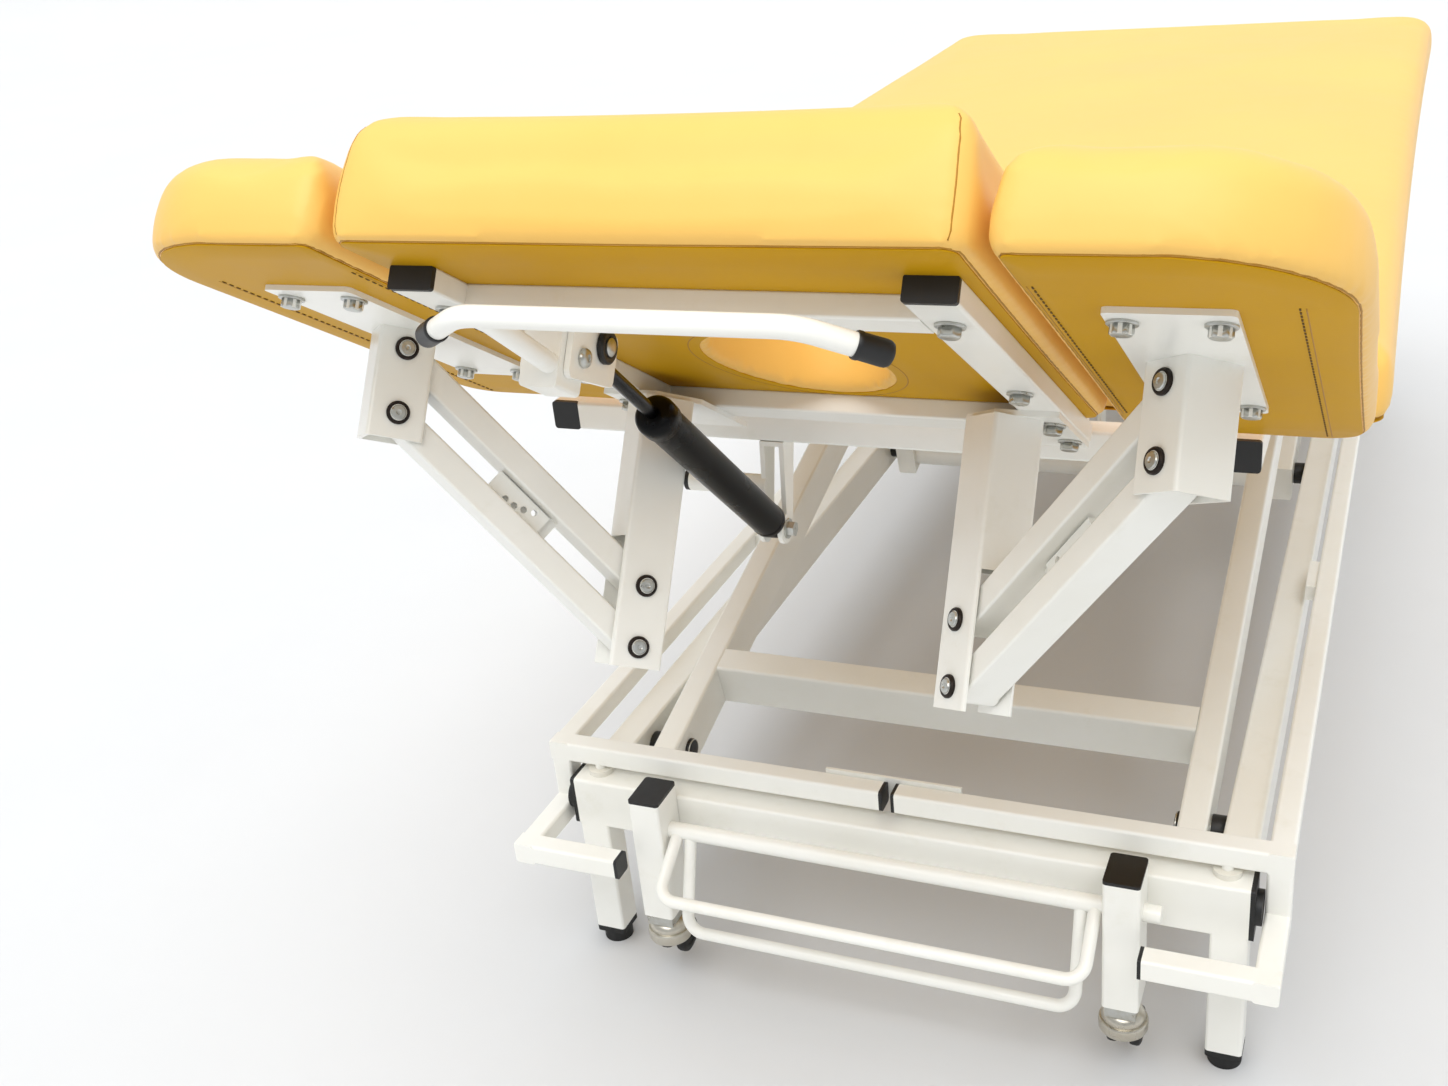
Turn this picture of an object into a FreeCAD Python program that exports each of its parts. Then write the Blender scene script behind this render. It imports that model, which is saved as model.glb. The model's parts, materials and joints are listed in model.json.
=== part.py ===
import FreeCAD, Part
import math
import os

# Electric treatment table with a tilting head section, drop armrests and a foot ring.
# Millimetres. Z is up, Y runs from the head end to the foot end, X is across the table.
# The origin is on the floor under the middle of the whole table at rest.

Vec = FreeCAD.Vector
AXIS_X = Vec(1, 0, 0)
AXIS_Y = Vec(0, 1, 0)
AXIS_Z = Vec(0, 0, 1)

# Table top
top_height = 622.0
table_width = 752.0
main_cushion_length = 1580.0
main_cushion_height = 67.5
main_cushion_setback = 84.0
main_corner_front = 22.0
main_corner_rear = 55.0
main_tube = 25.0
frame_side_inset = 84.0
main_frame_front = 44.0
rail_overhang = 60.138
main_cross_middle_place = 900.0

# Base frame
base_length = 1600.0
crossbar_height = 50.0
crossbar_depth = 30.0
crossbar_top = 190.0
base_rail_width = 30.0
base_rail_play = 14.0
leg_side = 30.0
leg_end_height = 18.0
foot_cap_height = 6.0
foot_radius = 14.0
tube_corner = 3.0
cap_thickness = 4.0
buffer_radius = 15.0
buffer_thickness = 5.0
post_cap_thickness = 3.0

# Caster posts on the ends of the base
post_inset = 94.0
post_width = 30.0
post_depth = 40.0
post_wall = 2.0
post_rise = 14.0
post_bottom = 79.0

# Foot ring round the base
ring_tube = 20.0
ring_side_gap = 10.0
ring_setback = 15.0
ring_lift = 3.0
ring_travel = 2.5
ring_end_gap = 8.0
ring_cap_thickness = 3.0
puck_height = 5.0
puck_radius = 11.5
puck_inset = 20.0
stud_radius = 5.0
stud_length = 22.0
stud_bore_depth = 17.0
toe_bar_top = 160.0
toe_bar_reach = 70.0
toe_bar_post_gap = 6.0
ring_plate_length = 124.0
ring_plate_thickness = 3.0
ring_plate_rise = 3.0
ring_guide_place = 490.0
ring_guide_length = 60.0
ring_guide_height = 16.0

# Pedals
axle_radius = 7.5
axle_height = 168.0
axle_stub = 14.0
pedal_wire_radius = 5.5
pedal_bend_radius = 16.0
upper_loop_inset = 23.0
upper_loop_reach = 55.0
upper_loop_drop = 36.0
lower_loop_inset = 35.0
lower_loop_reach = 30.0
lower_loop_drop = 88.0

# Casters
slide_top = 135.0
slide_bottom = 68.0
stem_radius = 5.0
stem_length = 10.0
hood_radius = 20.5
hood_height = 24.0
hood_dome_height = 9.0
hood_dome_radius = 13.0
wheel_radius = 17.0
wheel_width = 11.0
wheel_trail = 13.0
wheel_floor_gap = 20.0
wheel_core_width = 7.0
wheel_axle_radius = 3.0

# Lift linkage
arm_length = 700.0
arm_height = 50.0
arm_width = 25.0
arm_rail_play = 6.0
arm_end = 25.0
lower_pivot_place = 110.0
lower_pivot_height = 165.0
rear_arm_offset = 790.0
hanger_drop = 175.0
hanger_depth = 40.0
hanger_end = 20.0
beam_depth = 30.0
front_beam_place = 104.0
lift_pin_radius = 8.0
lift_bush_radius = 13.0
lift_cap_radius = 11.0
lift_cap_thickness = 4.0
torque_tube_radius = 21.0

# Lift actuator
lever_length = 100.0
lever_lean = 10.8
lever_plate = 6.0
lever_width = 34.0
lever_pin_radius = 6.0
actuator_rod_radius = 10.0
actuator_body_radius = 23.0
actuator_front_gap = 46.0
actuator_body_length = 540.0
actuator_bore_depth = 112.0
actuator_rod_overlap = 80.0
actuator_eye_width = 24.0
actuator_eye_height = 44.0
actuator_eye_length = 34.0
actuator_slot_play = 4.0
actuator_side_play = 0.4
motor_width = 70.0
motor_height = 62.0
motor_length = 96.0
actuator_lug_plate = 8.0
actuator_lug_width = 30.0
actuator_lug_setback = 16.0

# Head section, measured along the section from the front of its rails and above their tops
head_tilt = 32.0
hinge_setback = 417.1
hinge_lift = 11.4
hinge_place = 56.0
hinge_rise = 11.5
hinge_pin_radius = 4.0
hinge_ear_radius = 9.0
hinge_ear_width = 6.0
hinge_lug_width = 4.0
hinge_head_width = 2.5
head_rail_width = 30.0
head_rail_height = 15.0
head_rail_spacing = 315.0
head_rail_length = 402.0
head_tube_corner = 2.0
head_cross_front_place = 38.0
head_cross_front_width = 30.0
head_cross_rear_place = 335.0
head_cross_rear_width = 40.0
head_cushion_width = 374.0
head_cushion_front = -50.0
head_cushion_rear = 385.0
head_cushion_height = 82.0
head_cushion_corner = 16.0
face_hole_place = 238.0
face_hole_width = 116.0
face_hole_length = 172.0

# Bolts under the head section and the armrests
bolt_head_radius = 6.5
bolt_head_height = 5.5
washer_radius = 8.5
washer_thickness = 1.6
rail_bolt_places = (45.0, 224.0)
post_bolt_places = (310.0, 374.0)
post_bolt_inset = 9.5

# Armrest linkage on each side
side_post_place_x = 131.5
side_post_place_s = 299.0
side_tube = 40.0
side_tube_wall = 3.0
side_post_upper_pin = -160.2
side_pin_spacing = 45.5
side_post_end = 15.3
side_post_slot = -125.0
side_pin_radius = 5.0
side_pin_head_radius = 7.5
side_pin_head_height = 2.5
side_plate_thickness = 4.0
side_plate_front = 282.0
side_plate_rear = 400.0
side_plate_inner = 102.0
side_plate_outer = 172.0
side_plate_clip = 26.0
link_length = 242.0
link_rise = 35.5
link_width = 30.0
link_height = 20.0
bracket_end = 18.0
lower_lock_place = 110.0
lower_lock_length = 50.0
upper_lock_place = 76.0
upper_lock_length = 56.0
lock_plate_thickness = 3.0
lock_plate_offset = 2.2
lock_plate_gap = 1.5
lock_hole_radius = 2.5

# Armrests
armrest_under = -2.0
armrest_inner = 195.0
armrest_outer = 365.0
armrest_front = -49.0
armrest_rear = 402.0
armrest_height = 64.0
armrest_corner_inner = 12.0
armrest_corner_front = 96.0
armrest_corner_rear = 34.0
armrest_plate_inner = 235.0
armrest_plate_outer = 303.0
armrest_plate_front = 45.0
armrest_plate_rear = 298.0
armrest_plate_corner = 4.0
armrest_bolt_inset_x = 9.0
armrest_bolt_inset_s = 19.0

# Gas spring and its release
gas_plane = -90.0
gas_bolt_place = 38.0
gas_bolt_drop = 99.5
gas_bolt_radius = 4.0
gas_cylinder_radius = 14.0
gas_cylinder_start = 17.0
gas_cylinder_end = 260.0
gas_collar_length = 9.0
gas_rod_radius = 5.0
gas_rod_overlap = 85.0
gas_bore_length = 155.0
gas_eye_radius = 9.0
gas_eye_width = 12.0
gas_pin_s = 91.5
gas_pin_lift = -24.7
gas_pin_radius = 5.0
gas_pin_play = 4.0
gas_pin_head_radius = 10.5
gas_pin_head_height = 3.0
gas_top_eye_width = 16.0
gas_plate_thickness = 4.0
gas_plate_gap = 13.0
gas_plate_half_width = 13.0
stop_tube_radius = 9.0
stop_tube_length = 66.0
stop_tube_place = 46.0
stop_tube_drop = 65.0

# Release handle and the housing that carries it
cheek_gap = 26.0
cheek_thickness = 4.0
cheek_front = 52.0
cheek_rear = 109.0
cheek_under = -52.0
cheek_corner = 5.0
release_box_front = 46.0
release_box_rear = 76.0
release_box_top = -22.0
release_box_under = -60.0
release_box_corner = 3.0
release_pin_s = 67.0
release_pin_lift = -37.2
release_pin_radius = 3.0
release_pin_head_radius = 5.0
release_pin_head_height = 2.0
handle_radius = 6.5
handle_half_straight = 100.0
handle_half_width = 140.0
handle_front = -32.0
handle_drop = -37.0
handle_end_s = 0.0
handle_end_drop = -42.0
handle_bend_radius = 34.0
handle_stem_offset = 6.0
grip_radius = 7.3
grip_length = 20.0

# Clearances shared by every fit
flat_gap = 0.3
bore_gap = 0.05
overrun = 5.0

# Heights of the sections of a cushion, and how far each one is drawn in, as shares of its height
crown_height_shares = (0.0, 0.06, 0.16, 0.40, 0.62, 0.76, 0.86, 0.93, 0.975, 1.0)
crown_inset_shares = (0.07, 0.025, 0.0, 0.0, 0.02, 0.07, 0.15, 0.28, 0.52, 0.85)
side_draw_share = 0.003

# Places of the holes in the lock plates, as shares of a plate's length and rise
lower_lock_hole_shares = ((0.68, 0.20), (0.52, 0.25), (0.375, 0.43), (0.23, 0.68))
upper_lock_hole_shares = ((0.34, 0.41),)

# Worked out from the sizes above
main_frame_width = table_width - 2 * frame_side_inset
arm_spacing = main_frame_width - 2 * (main_tube + arm_rail_play) - arm_width
crossbar_length = arm_spacing + arm_width + 2 * (base_rail_width + base_rail_play)
post_spacing = crossbar_length - 2 * post_inset
ring_width = crossbar_length + 2 * (ring_tube + ring_side_gap)
puck_spacing = crossbar_length - 2 * puck_inset
upper_loop_width = post_spacing - 2 * upper_loop_inset
lower_loop_width = post_spacing - 2 * lower_loop_inset
frame_top = top_height - main_cushion_height
frame_bottom = frame_top - main_tube
upper_pivot_height = frame_bottom - hanger_drop
arm_angle = math.asin((upper_pivot_height - lower_pivot_height) / arm_length)
arm_reach = arm_length * math.cos(arm_angle)
front_upper_pivot_place = lower_pivot_place + arm_reach
rear_lower_pivot_place = lower_pivot_place + rear_arm_offset
rear_upper_pivot_place = rear_lower_pivot_place + arm_reach
main_frame_length = rear_upper_pivot_place + rail_overhang - main_frame_front
hinge_height = frame_top + hinge_rise
tilt = math.radians(head_tilt)
crossbar_bottom = crossbar_top - crossbar_height
post_inner_x = post_spacing / 2 - post_width / 2
post_outer_x = post_spacing / 2 + post_width / 2
toe_bar_inner_end = post_outer_x + toe_bar_post_gap
post_centre_y = -post_depth / 2
ring_bottom = crossbar_top + puck_height + ring_lift
ring_top = ring_bottom + ring_tube
gas_bolt_height = frame_top - gas_bolt_drop
cheek_right = gas_plane + cheek_gap / 2
cheek_left = gas_plane - cheek_gap / 2


def head_point(x, s, lift):
    """Place in the table's frame of a point of the head section at rest."""
    along = s - hinge_setback
    above = lift - hinge_lift
    y = hinge_place + along * math.cos(tilt) + above * math.sin(tilt)
    z = hinge_height - along * math.sin(tilt) + above * math.cos(tilt)
    return Vec(x, y, z)


def tilted(shape):
    """Head-section shape, built flat, turned and moved to its place at rest."""
    turn = FreeCAD.Rotation(AXIS_X, -head_tilt)
    result = shape.copy()
    result.Placement = FreeCAD.Placement(head_point(0, 0, 0), turn)
    return result


def mirrored_x(shape):
    """Copy of a shape on the other side of the table."""
    return shape.mirror(Vec(0, 0, 0), AXIS_X)


def mirrored_y(shape):
    """Copy of a shape at the other end of the base."""
    return shape.mirror(Vec(0, base_length / 2, 0), AXIS_Y)


def both_sides(shape):
    """The shape and its copy on the other side."""
    return [shape, mirrored_x(shape)]


def all_corners(shape):
    """The shape at the four corners of the base."""
    front = both_sides(shape)
    return front + [mirrored_y(piece) for piece in front]


def fused(pieces):
    """One solid from pieces that are welded together."""
    return pieces[0].multiFuse(pieces[1:]).removeSplitter()


def box_between(low, high):
    """Plain block between two corners."""
    size = high - low
    return Part.makeBox(size.x, size.y, size.z, low)


def rod_between(start, end, radius):
    """Round bar between two points."""
    span = end - start
    return Part.makeCylinder(radius, span.Length, start, span)


def corner_arc(before, corner, after, radius):
    """Start, middle and end of the arc that rounds a corner of an outline."""
    to_before = (before - corner).normalize()
    to_after = (after - corner).normalize()
    half_angle = to_before.getAngle(to_after) / 2
    bisector = (to_before + to_after).normalize()
    centre = corner + bisector * (radius / math.sin(half_angle))
    reach = radius / math.tan(half_angle)
    return corner + to_before * reach, centre - bisector * radius, corner + to_after * reach


def rounded_outline(points, radii, draw_share=0.0):
    """Closed wire with an arc at each corner and sides drawn in by a share of their length."""
    count = len(points)
    arcs = []
    for index, corner in enumerate(points):
        arcs.append(corner_arc(points[index - 1], corner, points[(index + 1) % count], radii[index]))
    middle = Vec(0, 0, 0)
    for point in points:
        middle = middle + point / count
    edges = []
    for index, (start, bend, end) in enumerate(arcs):
        edges.append(Part.Arc(start, bend, end).toShape())
        following = arcs[(index + 1) % count][0]
        if draw_share:
            draw = draw_share * (following - end).Length
            along = (following - end).normalize()
            half_way = (following + end) / 2
            inward = middle - half_way
            inward = (inward - along * inward.dot(along)).normalize()
            edges.append(Part.Arc(end, half_way + inward * draw, following).toShape())
        else:
            edges.append(Part.LineSegment(end, following).toShape())
    return Part.Wire(edges)


def bar(start, end, width, height, side, radius=tube_corner):
    """Rectangular tube along a line: width along the given side, height across it."""
    span = end - start
    along = Vec(span).normalize()
    across = Vec(side).normalize()
    upward = along.cross(across)
    corners = []
    for turn_u, turn_v in ((1, 1), (-1, 1), (-1, -1), (1, -1)):
        corners.append(start + across * (turn_u * width / 2) + upward * (turn_v * height / 2))
    wire = rounded_outline(corners, [radius] * len(corners))
    return Part.Face(wire).extrude(span)


def plate(points, thickness, direction, radii=None):
    """Flat plate from an outline, thickened along a direction."""
    if radii:
        wire = rounded_outline(points, radii)
    else:
        wire = Part.makePolygon(points + points[:1])
    return Part.Face(wire).extrude(Vec(direction).normalize() * thickness)


def bent_rod(points, bend_radius, radius):
    """Round rod along straight runs joined by tangent arcs."""
    edges = []
    start = points[0]
    for before, corner, after in zip(points, points[1:], points[2:]):
        arc_start, arc_middle, arc_end = corner_arc(before, corner, after, bend_radius)
        edges.append(Part.LineSegment(start, arc_start).toShape())
        edges.append(Part.Arc(arc_start, arc_middle, arc_end).toShape())
        start = arc_end
    edges.append(Part.LineSegment(start, points[-1]).toShape())
    circle = Part.Wire([Part.Circle(points[0], points[1] - points[0], radius).toShape()])
    return Part.Wire(edges).makePipeShell([circle], True, False)


def crowned_cushion(corners, radii, bottom, height):
    """Upholstered pad: tucked-in bottom edge, upright drawn-in sides and a crowned top.

    The pad is a loft through horizontal sections, each drawn in from the corners
    of its largest outline by a share of the pad's height.
    """
    middle = Vec(0, 0, 0)
    for corner in corners:
        middle = middle + corner / len(corners)
    sections = []
    for height_share, inset_share in zip(crown_height_shares, crown_inset_shares):
        inset = inset_share * height
        points = []
        for corner in corners:
            step_x = math.copysign(inset, middle.x - corner.x)
            step_y = math.copysign(inset, middle.y - corner.y)
            points.append(Vec(corner.x + step_x, corner.y + step_y, bottom + height_share * height))
        kept = [max(radius - inset, radius * 0.4) for radius in radii]
        sections.append(rounded_outline(points, kept, side_draw_share))
    return Part.makeLoft(sections, True, True)


def hex_bolt(place, direction):
    """Hexagon head on a washer, standing out from a face."""
    axis = Vec(direction).normalize()
    washer = Part.makeCylinder(washer_radius, washer_thickness, place, axis)
    side = axis.cross(AXIS_X)
    if side.Length < bore_gap:
        side = axis.cross(AXIS_Y)
    side.normalize()
    other = axis.cross(side)
    seat = place + axis * washer_thickness
    points = []
    for index in range(6):
        angle = math.radians(60) * index
        outward = side * math.cos(angle) + other * math.sin(angle)
        points.append(seat + outward * bolt_head_radius)
    return washer.fuse(plate(points, bolt_head_height, axis))


def base_end():
    """Front end of the base: crossbar, two legs and two caster posts, welded together."""
    middle_y = crossbar_depth / 2
    middle_z = crossbar_top - crossbar_height / 2
    half = crossbar_length / 2
    pieces = [bar(Vec(-half, middle_y, middle_z), Vec(half, middle_y, middle_z),
                  crossbar_depth, crossbar_height, AXIS_Y)]
    leg_x = half - leg_side / 2
    leg_foot = Vec(leg_x, middle_y, leg_end_height)
    leg = bar(leg_foot, Vec(leg_x, middle_y, middle_z), leg_side, leg_side, AXIS_X)
    post_top = crossbar_top + post_rise
    low = Vec(post_spacing / 2, post_centre_y, post_bottom)
    high = Vec(post_spacing / 2, post_centre_y, post_top)
    post = bar(low, high, post_width, post_depth, AXIS_X)
    post_hollow = box_between(
        Vec(post_inner_x + post_wall, -post_depth + post_wall, post_bottom - overrun),
        Vec(post_outer_x - post_wall, -post_wall, post_top + overrun))
    axle_place = Vec(post_inner_x - overrun, post_centre_y, axle_height)
    axle_bore = Part.makeCylinder(axle_radius + bore_gap, post_width + 2 * overrun, axle_place, AXIS_X)
    stud_place = Vec(puck_spacing / 2, ring_setback + ring_tube / 4, crossbar_top - stud_bore_depth)
    stud_bore = Part.makeCylinder(stud_radius + bore_gap, stud_bore_depth + overrun, stud_place, AXIS_Z)
    pieces += both_sides(leg) + both_sides(post)
    cuts = both_sides(post_hollow) + both_sides(axle_bore) + both_sides(stud_bore)
    return fused(pieces).cut(cuts)


def base_rail():
    """Side rail between the two ends of the base."""
    x = crossbar_length / 2 - base_rail_width / 2
    z = crossbar_top - crossbar_height / 2
    start = Vec(x, crossbar_depth, z)
    end = Vec(x, base_length - crossbar_depth, z)
    return bar(start, end, base_rail_width, crossbar_height, AXIS_X)


def base_caps():
    """Black end caps of the crossbars, with their round buffers, and of the caster posts."""
    middle_z = crossbar_top - crossbar_height / 2
    start = Vec(crossbar_length / 2, crossbar_depth / 2, middle_z)
    end = start + AXIS_X * cap_thickness
    end_cap = bar(start, end, crossbar_depth, crossbar_height, AXIS_Y)
    buffer = Part.makeCylinder(buffer_radius, buffer_thickness, end, AXIS_X)
    low = Vec(post_spacing / 2, post_centre_y, crossbar_top + post_rise)
    high = low + AXIS_Z * post_cap_thickness
    post_cap = bar(low, high, post_width, post_depth, AXIS_X)
    return Part.makeCompound(all_corners(end_cap.fuse(buffer)) + all_corners(post_cap))


def level_feet():
    """Plug and round rubber foot under each leg."""
    x = crossbar_length / 2 - leg_side / 2
    y = crossbar_depth / 2
    plug_bottom = leg_end_height - foot_cap_height
    plug = bar(Vec(x, y, plug_bottom), Vec(x, y, leg_end_height), leg_side, leg_side, AXIS_X)
    pad = Part.makeCylinder(foot_radius, plug_bottom, Vec(x, y, 0), AXIS_Z)
    return Part.makeCompound(all_corners(plug.fuse(pad)))


def ring_pucks():
    """White bushes on the crossbars that guide the studs of the foot ring."""
    place = Vec(puck_spacing / 2, ring_setback + ring_tube / 4, crossbar_top)
    puck = Part.makeCylinder(puck_radius, puck_height, place, AXIS_Z)
    bore = Part.makeCylinder(stud_radius + bore_gap, puck_height, place, AXIS_Z)
    return Part.makeCompound(all_corners(puck.cut(bore)))


def ring_quarter():
    """Quarter of the foot ring at the front right: front tube, side tube, corner and toe bar."""
    half = ring_tube / 2
    side_x = ring_width / 2 - half
    front_y = ring_setback + half
    middle_z = ring_bottom + half
    tube_start = ring_end_gap / 2 + ring_cap_thickness
    toe_z = toe_bar_top - half
    toe_y = half - toe_bar_reach
    front = bar(Vec(tube_start, front_y, middle_z), Vec(ring_width / 2, front_y, middle_z),
                ring_tube, ring_tube, AXIS_Y)
    side = bar(Vec(side_x, ring_setback, middle_z), Vec(side_x, base_length / 2, middle_z),
               ring_tube, ring_tube, AXIS_X)
    upright_foot = Vec(side_x, front_y, toe_z - half)
    upright = bar(upright_foot, Vec(side_x, front_y, middle_z), ring_tube, ring_tube, AXIS_X)
    back_end = Vec(side_x, front_y + half, toe_z)
    back = bar(Vec(side_x, -toe_bar_reach, toe_z), back_end, ring_tube, ring_tube, AXIS_X)
    toe_start = Vec(toe_bar_inner_end, toe_y, toe_z)
    toe = bar(toe_start, Vec(ring_width / 2, toe_y, toe_z), ring_tube, ring_tube, AXIS_Y)
    stud_place = Vec(puck_spacing / 2, ring_setback + ring_tube / 4, middle_z - stud_length)
    stud = Part.makeCylinder(stud_radius, stud_length, stud_place, AXIS_Z)
    guide = box_between(
        Vec(crossbar_length / 2 + flat_gap, ring_guide_place, ring_bottom),
        Vec(side_x, ring_guide_place + ring_guide_length, ring_bottom + ring_guide_height))
    return [front, side, upright, back, toe, stud, guide]


def foot_ring_half():
    """Right half of the foot ring, a C round the right side of the base."""
    quarter = ring_quarter()
    return fused(quarter + [mirrored_y(piece) for piece in quarter])


def ring_plates():
    """Flat plates that join the two halves of the foot ring at each end."""
    back = ring_setback + ring_tube
    low = Vec(-ring_plate_length / 2, back, ring_bottom + ring_plate_rise)
    high = Vec(ring_plate_length / 2, back + ring_plate_thickness, ring_top + ring_plate_rise)
    front = box_between(low, high)
    return Part.makeCompound([front, mirrored_y(front)])


def ring_caps():
    """Black caps in the open ends of the foot ring's tubes."""
    half = ring_tube / 2
    middle = Vec(ring_end_gap / 2, ring_setback + half, ring_bottom + half)
    split_cap = bar(middle, middle + AXIS_X * ring_cap_thickness, ring_tube, ring_tube, AXIS_Y)
    toe = Vec(toe_bar_inner_end - ring_cap_thickness, half - toe_bar_reach, toe_bar_top - half)
    toe_cap = bar(toe, toe + AXIS_X * ring_cap_thickness, ring_tube, ring_tube, AXIS_Y)
    return Part.makeCompound(all_corners(split_cap) + all_corners(toe_cap))


def pedal():
    """Front caster pedal: axle in the posts and two wire loops welded to it."""
    start = Vec(-post_outer_x + post_wall, post_centre_y, axle_height)
    end = Vec(post_outer_x + axle_stub, post_centre_y, axle_height)
    pieces = [rod_between(start, end, axle_radius)]
    loops = ((upper_loop_width, upper_loop_reach, upper_loop_drop),
             (lower_loop_width, lower_loop_reach, lower_loop_drop))
    for width, reach, drop in loops:
        low_y = post_centre_y - reach
        low_z = axle_height - drop
        points = [Vec(-width / 2, post_centre_y, axle_height), Vec(-width / 2, low_y, low_z),
                  Vec(width / 2, low_y, low_z), Vec(width / 2, post_centre_y, axle_height)]
        pieces.append(bent_rod(points, pedal_bend_radius, pedal_wire_radius))
    return fused(pieces)


def caster_slide():
    """Square slider in the front right post, with the bore that takes the caster's stem."""
    half_x = post_width / 2 - post_wall - flat_gap
    half_y = post_depth / 2 - post_wall - flat_gap
    centre_x = post_spacing / 2
    slider = box_between(Vec(centre_x - half_x, post_centre_y - half_y, slide_bottom),
                         Vec(centre_x + half_x, post_centre_y + half_y, slide_top))
    bore_place = Vec(centre_x, post_centre_y, slide_bottom)
    bore = Part.makeCylinder(stem_radius + bore_gap, stem_length + overrun, bore_place, AXIS_Z)
    return slider.cut(bore)


def caster_swivel():
    """Chrome hood with its stem, open to the rear for the twin wheels."""
    centre = Vec(post_spacing / 2, post_centre_y, 0)
    top = slide_bottom - flat_gap
    skirt_height = hood_height - hood_dome_height
    wheel_centre_z = wheel_floor_gap + wheel_radius
    skirt_place = centre + AXIS_Z * (top - hood_height)
    skirt = Part.makeCylinder(hood_radius, skirt_height, skirt_place, AXIS_Z)
    dome_place = skirt_place + AXIS_Z * skirt_height
    dome = Part.makeCone(hood_radius, hood_dome_radius, hood_dome_height, dome_place, AXIS_Z)
    stem = Part.makeCylinder(stem_radius, stem_length, centre + AXIS_Z * (top - flat_gap), AXIS_Z)
    half_well = wheel_core_width / 2 + wheel_width + 2 * flat_gap
    well_front = wheel_trail - wheel_radius - 2 * flat_gap
    well = box_between(
        centre + Vec(-half_well, well_front, 0),
        centre + Vec(half_well, hood_radius + overrun, wheel_centre_z + wheel_radius + 2 * flat_gap))
    core = box_between(
        centre + Vec(-wheel_core_width / 2, well_front, wheel_centre_z - wheel_axle_radius - 2 * flat_gap),
        centre + Vec(wheel_core_width / 2, wheel_trail + wheel_axle_radius * 2, dome_place.z))
    axle_place = centre + Vec(-wheel_core_width, wheel_trail, wheel_centre_z)
    axle_bore = Part.makeCylinder(wheel_axle_radius + bore_gap, wheel_core_width * 2, axle_place, AXIS_X)
    hood = fused([skirt, dome, stem]).cut(well)
    return hood.fuse(core).cut(axle_bore)


def caster_wheels():
    """Twin wheels on one axle."""
    centre = Vec(post_spacing / 2, post_centre_y + wheel_trail, wheel_floor_gap + wheel_radius)
    inner = wheel_core_width / 2 + flat_gap
    half_span = inner + wheel_width
    axle_place = centre - AXIS_X * half_span
    axle = Part.makeCylinder(wheel_axle_radius, 2 * half_span, axle_place, AXIS_X)
    wheels = []
    for start in (inner, -half_span):
        wheels.append(Part.makeCylinder(wheel_radius, wheel_width, centre + AXIS_X * start, AXIS_X))
    return fused([axle] + wheels)


def along_arm(pivot_y, distance, across=0.0):
    """Point in the middle plane of a lift arm, a distance along it from its lower pivot."""
    y = pivot_y + distance * math.cos(arm_angle) - across * math.sin(arm_angle)
    z = lower_pivot_height + distance * math.sin(arm_angle) + across * math.cos(arm_angle)
    return Vec(0, y, z)


def lift_frame(pivot_y, joining, bore_start):
    """Pair of lift arms with what joins them, bored at both ends for the pivot pins."""
    centre_x = arm_spacing / 2
    start = along_arm(pivot_y, -arm_end) + AXIS_X * centre_x
    end = along_arm(pivot_y, arm_length + arm_end) + AXIS_X * centre_x
    arm = bar(start, end, arm_width, arm_height, AXIS_X)
    inner_x = centre_x - arm_width / 2
    outer_x = centre_x + arm_width / 2
    lower_place = along_arm(pivot_y, 0) + AXIS_X * bore_start
    upper_place = along_arm(pivot_y, arm_length) + AXIS_X * (inner_x - overrun)
    radius = lift_pin_radius + bore_gap
    lower_bore = Part.makeCylinder(radius, outer_x - bore_start + overrun, lower_place, AXIS_X)
    upper_bore = Part.makeCylinder(radius, arm_width + 2 * overrun, upper_place, AXIS_X)
    frame = fused(both_sides(arm) + joining)
    return frame.cut(both_sides(lower_bore) + both_sides(upper_bore))


def front_lift_frame():
    """Front lift arms with the beam between them."""
    inner_x = arm_spacing / 2 - arm_width / 2
    centre = along_arm(lower_pivot_place, front_beam_place)
    along = along_arm(lower_pivot_place, arm_length) - along_arm(lower_pivot_place, 0)
    beam = bar(centre - AXIS_X * inner_x, centre + AXIS_X * inner_x, beam_depth, arm_height, along)
    return lift_frame(lower_pivot_place, [beam], inner_x - overrun)


def lever_tip():
    """Centre of the pin that the actuator pushes on."""
    lean = math.radians(lever_lean)
    y = rear_lower_pivot_place + lever_length * math.sin(lean)
    z = lower_pivot_height + lever_length * math.cos(lean)
    return Vec(0, y, z)


def rear_lift_frame():
    """Rear lift arms with the torque tube and the lever that the actuator pushes on."""
    inner_x = arm_spacing / 2 - arm_width / 2
    pivot = along_arm(rear_lower_pivot_place, 0)
    tube = rod_between(pivot - AXIS_X * inner_x, pivot + AXIS_X * inner_x, torque_tube_radius)
    tip = lever_tip()
    inside = actuator_eye_width / 2 + flat_gap
    up = (tip - pivot).normalize()
    foot = pivot + AXIS_X * inside
    head = tip + AXIS_X * inside + up * (lever_width / 2)
    middle_shift = AXIS_X * (lever_plate / 2)
    lever = bar(foot + middle_shift, head + middle_shift, lever_plate, lever_width, AXIS_X, lever_plate / 3)
    pin_half = inside + lever_plate
    pin = rod_between(tip - AXIS_X * pin_half, tip + AXIS_X * pin_half, lever_pin_radius)
    joining = [tube, pin] + both_sides(lever)
    return lift_frame(rear_lower_pivot_place, joining, inner_x + lift_cap_thickness - flat_gap)


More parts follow.
